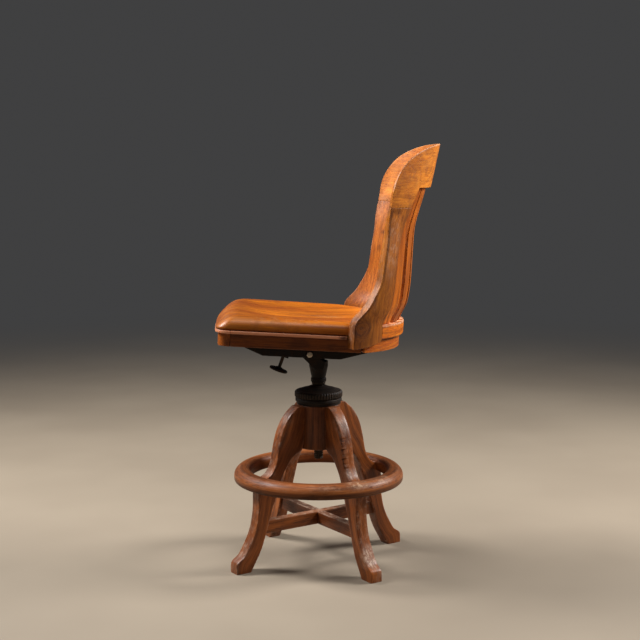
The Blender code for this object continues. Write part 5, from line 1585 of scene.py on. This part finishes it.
    def _panel_rings(self) -> tuple[np.ndarray, np.ndarray]:
        """Rings of the panel from its underside over the rolled edge into the dish.

        Returns:
            The rings and their edge wear.
        """
        low, top, arc_y = self.panel_bottom, self.panel_top, self.arc_y
        half, front = self.apron_half + self.inset, self.apron_front - self.inset - self.panel_nose
        arc = self.foot_radius - self.rail_thickness - self.panel_clear
        start = arc_y + math.sqrt(arc ** 2 - half ** 2) - 0.006
        plan = np.concatenate((self._front(half, front, self.apron_corner + self.inset, start),
                               self._rear(half, arc, 49)))
        centre = np.array((0.0, arc_y))
        ahead = np.clip((arc_y - plan[:, 1]) / (arc_y - front), 0.0, 1.0) ** 6
        roll = self.panel_round / -front * (1 + self.panel_front_roll * ahead)
        wall = low + self.panel_lip * (1 - self.panel_lip_ease * ahead)
        whole = np.ones(len(plan))
        parts: list[tuple[np.ndarray, Any, float]] = [
            (0.30 * whole, low, 0.0), (1 - roll / 6, low, 0.0), (1 - roll / 40, low + 0.0006, 0.5),
            (whole, low + 0.003, 1.0), (1 - roll / 60 * self.panel_front_roll * ahead, low + 0.005, 0.3)]
        for degrees in self.panel_roll:
            c, s = math.cos(math.radians(degrees)), math.sin(math.radians(degrees))
            reach = 1 - roll * (1 - c) ** (1 - self.panel_front_slope * c * ahead)
            parts.append((reach, lerp(wall, top, s), 0.9 if 30 < degrees < 75 else 0.3))
        for share in self.panel_rings:
            x, y = (centre + (plan - centre) * ((1 - roll) * share)[:, None]).T
            forward = np.clip((arc_y - y) / (arc_y - front), 0.0, 1.0)
            hollow = 1 - share ** 2
            dip = self.panel_dish * hollow * (1 - self.panel_front_dish * forward)
            ridge = self.panel_ridge * forward * hollow * np.exp(-(x / self.bead_width) ** 2)
            parts.append(((1 - roll) * share, top - dip + ridge, 0.12 if share > 0.9 else 0.0))
        rings = [np.column_stack((centre + (plan - centre) * scale[:, None], height * whole))
                 for scale, height, _ in parts]
        return np.array(rings), np.array([rub * whole for _, _, rub in parts])


@dataclass
class Back(SeatFrame):
    """Stiles, crest, lower rail and bent slats; lines are (height, value) pairs."""

    rail_bottom: float = 0.0696
    rail_top: float = 0.1046
    rail_rim: float = 0.15
    ear_inset: float = 0.0031
    ear_run: Pair = (0.03, 0.10)
    foot_drop: float = 0.0223
    crest_radius: float = 0.3100
    crest_shoulder: float = 0.4460
    crest_rise: float = 0.1256
    crest_half: float = 0.2366
    crest_powers: Pair = (2.8, 2.45)
    crest_bevel: float = 0.0030
    crest_tip: float = 0.0080
    crest_tip_share: float = 0.40
    crest_top: float = 0.0085
    crest_run: float = 0.0950
    crest_lower: float = 0.4575
    crest_joint: float = 0.4066
    crest_thickness: float = 0.0260
    crest_rim: float = 0.16
    crest_rows: tuple[float, ...] = (0.0, 0.009, 0.2, 0.45, 0.7, 0.88, 0.955, 1.0)
    crest_step: float = 0.0012
    crest_close: float = 0.006
    crest_grain: Triple = (3.5, 1.0, 1.0)
    crest_wear: Pair = (0.95, 0.6)
    thin_run: float = 0.1500
    stile_top_thickness: float = 0.0220
    stile_share: float = 0.8240
    stile_rim: float = 0.14
    stile_edges: Pair = (0.0012, 0.0030)
    stile_shades: tuple[float, ...] = (0.5, 0.36, 0.34, 0.22, 0.06, 0.06, 0.2, 0.95, 0.0)
    joint_stain: float = 0.30
    knot: Triple = (0.2278, 0.1247, 0.0981)
    knot_size: Triple = (0.030, 0.016, 0.013)
    knot_depth: float = 0.16
    slats: int = 6
    slat_width: float = 0.0460
    slat_thickness: float = 0.0100
    slat_inset: float = 0.0120
    slat_rim: float = 0.28
    slat_columns: tuple[float, ...] = (-1.0, -0.88, -0.5, 0.0, 0.5, 0.88, 1.0)
    lean_line: tuple[Pair, ...] = ((0.0696, 0.0), (0.1046, 0.0), (0.1546, 0.0190), (0.2176, 0.0243),
                                   (0.3340, 0.0250), (0.4575, 0.0492), (0.5716, 0.0672))
    edge_line: tuple[Pair, ...] = ((0.0696, 0.0318), (0.1180, 0.0318), (0.1638, 0.0215), (0.2318, 0.0082),
                                   (0.3200, 0.0084), (0.3900, 0.0190), (0.4460, 0.0278))
    rear_line: tuple[Pair, ...] = ((0.1046, 1.0), (0.2166, 0.963), (0.2955, 0.920), (0.3740, 0.817),
                                   (0.4575, 0.735))

    def build(self) -> None:
        """Builds stiles, crest, lower rail and slats."""
        for side in Side:
            self._stile(side)
        self._crest()
        self._rail()
        for index in range(self.slats):
            self._slat(index)

    @property
    def stile_angle(self) -> float:
        """Angle from the rear at which the stiles begin."""
        return self.stile_share * math.asin(self.crest_half / self.crest_radius)

    def _radius(self, z: float) -> float:
        """Plan radius of the back's outer face at a height."""
        return lerp(self.foot_radius, self.crest_radius, ease(self.rail_top, self.crest_shoulder, z))

    def _edge(self, z: float) -> float:
        """Angle from the rear to the back's front edge at a height."""
        return math.asin((self.apron_half + curve(self.edge_line, z)) / self._radius(z))

    def _rear_angle(self, z: float) -> float:
        """Angle from the rear to a stile's rear edge at a height."""
        return self.stile_angle * curve(self.rear_line, z)

    def _bend(self, angle: float, depth: float, z: float) -> Triple:
        """Point of the barrel back.

        Args:
            angle: Angle from the rear.
            depth: Depth inward from the outer face.
            z: Height.

        Returns:
            The point in the seat's frame.
        """
        radius = self._radius(z)
        centre = self.back_rear + curve(self.lean_line, z) - radius
        return (radius - depth) * math.sin(angle), centre + (radius - depth) * math.cos(angle), z

    def _thin(self, thick: float, share: float, z: float) -> float:
        """Thins the back near the shoulders, by the share of the way to its front edge."""
        near = ease(self.crest_joint - self.thin_run, self.crest_shoulder, z)
        return lerp(thick, self.crest_tip, ease(self.crest_tip_share, 1.0, share) * near)

    def _up_flow(self, shift: float) -> Flow:
        """Grain that runs up the back.

        Args:
            shift: Offset that gives a board its own figure.

        Returns:
            Function from points to grain coordinates.
        """
        around = self.round_flow(0.0)

        def flow(points: np.ndarray) -> np.ndarray:
            """Swaps the round grain's first two axes."""
            return around(points)[:, [1, 0, 2]] + shift * np.array((*FIGURE_STEP[:2], 0.0))

        return flow

    def _stile(self, side: Side) -> None:
        """Builds one stile, stout at the foot and slim above.

        Args:
            side: Side of the seat.
        """
        top, last = self.crest_joint - self.gap, len(self.stile_shades) - 1
        rows = np.concatenate(((0.0, 0.05, 0.3, 0.6), np.linspace(1.0, 2.0, 26)[:-1], (1.997, 2.0)))

        def place(row: float, column: int, face: int) -> Triple:
            """Point of the stile.

            Args:
                row: Height, counted to 1 at the rail's top and to 2 at the crest.
                column: Column from the rear edge to the front edge.
                face: 0 for the outer face, 1 for the inner.

            Returns:
                The point in the seat's frame.
            """
            low = self.rail_bottom - self.foot_drop * (1 - (1 - column / last) ** 2)
            z = lerp(low, self.rail_top, min(row, 1.0)) + (top - self.rail_top) * max(row - 1.0, 0.0)
            radius = self._radius(z)
            inset = self.ear_inset * (1 - ease(*(self.rail_top + run for run in self.ear_run), z))
            front, rear = self._edge(z) - inset / radius, self._rear_angle(z)
            first, end = (width / radius for width in self.stile_edges)
            reach = front - rear
            angle = rear + np.interp(column, (0, 1, last - 1, last), (0.0, first, reach - end, reach))
            slim = ease(self.rail_top, self.crest_lower / 2, z)
            thick = self._thin(lerp(self.rail_thickness, self.stile_top_thickness, slim), angle / front, z)
            return self._bend(side * angle, face * thick, z)

        knot = (side * self.knot[0], *self.knot[1:])
        flow = knotted(self._up_flow(2.0 + 3.0 * side), knot, self.knot_size, self.knot_depth)
        shape = board(rows, range(last + 1), place, flow, self.stile_rim)
        shape.stain[:len(rows) * (last + 1)] = np.tile(self.stile_shades, len(rows))
        shape.stain[shape.points[:, 2] > top - 0.0015] = self.joint_stain
        self.fit(f"stile_{side.label}", shape, OAK_BACK)

    def _crest(self) -> None:
        """Builds the crest rail with round shoulders, thin tips and a pale top edge, partly wear and partly a painted
        highlight.
        """
        step = self._rear_angle(self.crest_lower) / self._edge(self.crest_shoulder)
        columns = self._crest_columns(step)
        around = self.round_flow(1.0)

        def short(points: np.ndarray) -> np.ndarray:
            """Round grain with a short figure."""
            return around(points) * np.array(self.crest_grain)

        def place(v: float, u: float, face: int) -> Triple:
            """Point of the crest.

            Args:
                v: Share of the way from the lower to the upper edge.
                u: Share of the half width, negative to the right.
                face: 0 for the outer face, 1 for the inner.

            Returns:
                The point in the seat's frame.
            """
            share, power = abs(u), self.crest_powers[face]
            low = self.crest_joint if share > step else self.crest_lower
            arch = max(0.0, 1 - share ** power) ** (1 / power)
            high = self.crest_shoulder + (self.crest_rise - face * self.crest_bevel) * arch
            z = lerp(low, high, v)
            rear, edge = self._rear_angle(z), self._edge(min(z, self.crest_shoulder))
            angle = rear * share / step if share < step else lerp(rear, edge, (share - step) / (1 - step))
            stout = ease(self.crest_joint, self.crest_lower, z)
            thick = self._thin(lerp(self.stile_top_thickness, self.crest_thickness, stout), angle / edge, z)
            thick = lerp(thick, min(thick, self.crest_top), max(0.0, 1 - (high - z) / self.crest_run))
            return self._bend(math.copysign(angle, u), face * thick, z)

        shape = board(self.crest_rows, columns, place, short, self.crest_rim)
        shape.stain = np.where(shape.points[:, 2] < self.crest_joint + 0.002, self.joint_stain, 0.0)
        rows, size = len(self.crest_rows), len(columns)
        # Pale top rows of both faces: wear and a painted highlight.
        loop = 2 * rows * size + size + rows - 2
        for start, wear in zip(((rows - 1) * size, loop), self.crest_wear):
            shape.worn[start:start + size] = wear
        self.fit("crest_rail", shape, OAK_CREST, "oak_crest")

    def _crest_columns(self, step: float) -> np.ndarray:
        """Places of the crest's columns, close together at its steps and tips.

        Args:
            step: Share of the half width where the crest steps down to the stile.

        Returns:
            Shares of the half width, from tip to tip.
        """
        power, close, skip = self.crest_powers[0], self.crest_close, self.crest_step
        turn = np.linspace(math.acos(step ** (power / 2)), 0.0, 12)
        tips = [math.cos(t) ** (2 / power) for t in turn[1:-1]]
        tips[-1] = max(tips[-1], 1 - close)
        right = np.concatenate((np.linspace(0.0, step - 10 * skip, 12), (step - skip, step + skip), tips,
                                (1 - close / 3, 1.0)))
        right = np.unique(np.round(right, 5))
        return np.concatenate((-right[:0:-1], right))

    def _rail(self) -> None:
        """Builds the bowed lower rail."""
        low, high = self.rail_bottom, self.rail_top
        reach = self.stile_angle - self.gap / self.foot_radius
        turn = np.concatenate(((-1.0, -0.992), np.linspace(-1.0, 1.0, 33)[1:-1], (0.992, 1.0))) * reach
        heights = (low, low + 0.0035, low + 0.0175, high - 0.0045, high)

        def place(angle: float, z: float, face: int) -> Triple:
            """Point of the rail's outer or inner face."""
            return self._bend(angle, face * self.rail_thickness, z)

        self.fit("back_rail", board(turn, heights, place, self.round_flow(4.0), self.rail_rim), OAK_RAIL_LIT)

    def _slat(self, index: int) -> None:
        """Builds one bent slat.

        Args:
            index: Number of the slat, from 0.
        """
        share = (2 * index + 1) / self.slats - 1
        across = np.array(self.slat_columns) * self.slat_width / (self.foot_radius + self.crest_radius)
        rows = np.linspace(self.rail_top + self.gap, self.crest_lower - self.gap, 26)

        def place(z: float, aside: float, face: int) -> Triple:
            """Point of the slat's outer or inner face."""
            angle = share * self._rear_angle(z) + aside
            return self._bend(angle, self.slat_inset + face * self.slat_thickness, z)

        shape = board(rows, across, place, self._up_flow(11.0 + 2.3 * index), self.slat_rim)
        self.fit(f"slat_{index + 1}", shape, OAK_SLAT)


@dataclass(frozen=True)
class View:
    """Camera of the photograph, about the swivel axis, with its angles in degrees."""

    distance: float = 3.532
    height: float = 1.116
    azimuth: float = 89.2
    pitch: float = 7.48
    pan: float = 0.063
    lens: float = 74.94
    sensor: float = 36.0
    far: float = 60.0


@dataclass(frozen=True)
class Lamp:
    """A soft round lamp, placed and aimed from the foot of the swivel axis, with its power in watts."""

    name: str
    place: Triple
    target: Triple
    size: float
    power: float


LAMPS = (
    Lamp("key", (-0.50, -2.1, 2.50), (0.0, 0.0, 0.60), 1.1, 138.0),
    Lamp("side", (-0.45, 2.5, 2.0), (0.0, 0.1, 0.65), 1.0, 117.0),
    Lamp("top", (0.55, -0.1, 2.9), (0.0, 0.0, 0.50), 0.8, 20.0),
    Lamp("fill", (2.8, -1.6, 1.6), (0.0, 0.0, 0.5), 1.8, 4.0),
)


@dataclass
class Studio:
    """Floor, light and camera about the swivel axis."""

    axis: Vector
    view: View = View()
    backdrop: Triple = (0.051, 0.051, 0.052)
    floor_dark: Triple = (0.250, 0.200, 0.145)
    floor_light: Triple = (0.285, 0.230, 0.168)
    floor_rough: float = 0.75
    floor_size: float = 14.0
    fade: Pair = (1.5, 5.5)

    def build(self) -> None:
        """Builds the whole studio."""
        self._floor()
        self._world()
        for lamp in LAMPS:
            self._lamp(lamp)
        self._camera()

    def _floor(self) -> None:
        """Makes the plain pale floor."""
        mesh = bpy.data.meshes.new("floor")
        work = bmesh.new()
        bmesh.ops.create_grid(work, x_segments=8, y_segments=8, size=self.floor_size)
        work.to_mesh(mesh)
        work.free()
        floor = bpy.data.objects.new("floor", mesh)
        bpy.context.scene.collection.objects.link(floor)
        g = Graph("floor_finish")
        place = g.node('ShaderNodeTexCoord', "Object", {})
        tone = g.mix(g.pattern(place, FLOOR_TONE), self.floor_dark, self.floor_light)
        g.surface({"Base Color": tone, "Roughness": self.floor_rough})
        self._fade(g, place)
        mesh.materials.append(g.material)

    def _fade(self, g: Graph, place: Socket) -> None:
        """Lets the far floor run into the backdrop without a horizon.

        Args:
            g: Graph of the floor's finish.
            place: Place on the floor.
        """
        away = g.node('ShaderNodeVectorMath', "Value", {0: place}, operation='LENGTH')
        seen = g.node('ShaderNodeLightPath', "Is Camera Ray", {})
        glow = g.node('ShaderNodeEmission', 0, {"Color": self.backdrop})
        share = g.times(seen, g.span(away, *self.fade))
        blend = g.node('ShaderNodeMixShader', 0, {0: share, 1: g.shader.outputs[0], 2: glow})
        output = next(node for node in g.tree.nodes if node.type == 'OUTPUT_MATERIAL')
        g.feed(output.inputs["Surface"], blend)

    def _world(self) -> None:
        """Sets an even, dim surround."""
        world = bpy.data.worlds.new("studio")
        world.use_nodes = True
        back = world.node_tree.nodes["Background"]
        back.inputs["Color"].default_value = (*self.backdrop, 1.0)
        back.inputs["Strength"].default_value = 1.0
        bpy.context.scene.world = world

    def _lamp(self, lamp: Lamp) -> None:
        """Adds a soft area lamp.

        Args:
            lamp: Its place and light.
        """
        light = bpy.data.lights.new(lamp.name, 'AREA')
        light.shape = 'DISK'
        light.size = lamp.size
        light.energy = lamp.power
        obj = bpy.data.objects.new(lamp.name, light)
        obj.location = self.axis + Vector(lamp.place)
        obj.rotation_euler = (Vector(lamp.target) - Vector(lamp.place)).to_track_quat('-Z', 'Y').to_euler()
        bpy.context.scene.collection.objects.link(obj)

    def _camera(self) -> None:
        """Sets the photograph's camera."""
        v = self.view
        data = bpy.data.cameras.new("camera")
        data.lens = v.lens
        data.sensor_width = v.sensor
        data.clip_end = v.far
        camera = bpy.data.objects.new("camera", data)
        turn = math.radians(v.azimuth)
        camera.location = self.axis + Vector((math.sin(turn) * v.distance, -math.cos(turn) * v.distance, v.height))
        camera.rotation_euler = (math.radians(90.0 - v.pitch), 0.0, math.radians(v.azimuth - v.pan))
        bpy.context.scene.collection.objects.link(camera)
        bpy.context.scene.camera = camera
        bpy.context.scene.view_settings.view_transform = 'Standard'


def write_sizes() -> None:
    """Updates the scene's view layer.
    """
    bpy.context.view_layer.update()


def main() -> None:
    """Loads the frame, dresses the stool, sets the studio and reports each piece."""
    logging.basicConfig(level=logging.INFO, format="%(name)s: %(message)s")
    for obj in list(bpy.data.objects):
        bpy.data.objects.remove(obj, do_unlink=True)
    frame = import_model()
    shop = Workshop(frame)
    for assembly in (Base(shop), Lift(shop), Tilt(shop), Seat(shop), Back(shop)):
        assembly.build()
    shop.dress_nodes()
    Studio(shop.axis).build()
    write_sizes()
    for name, body, slot in shop.pieces:
        LOG.info("%s: moves with %s, slot %s", name, body, slot)


if __name__ == "__main__":
    main()
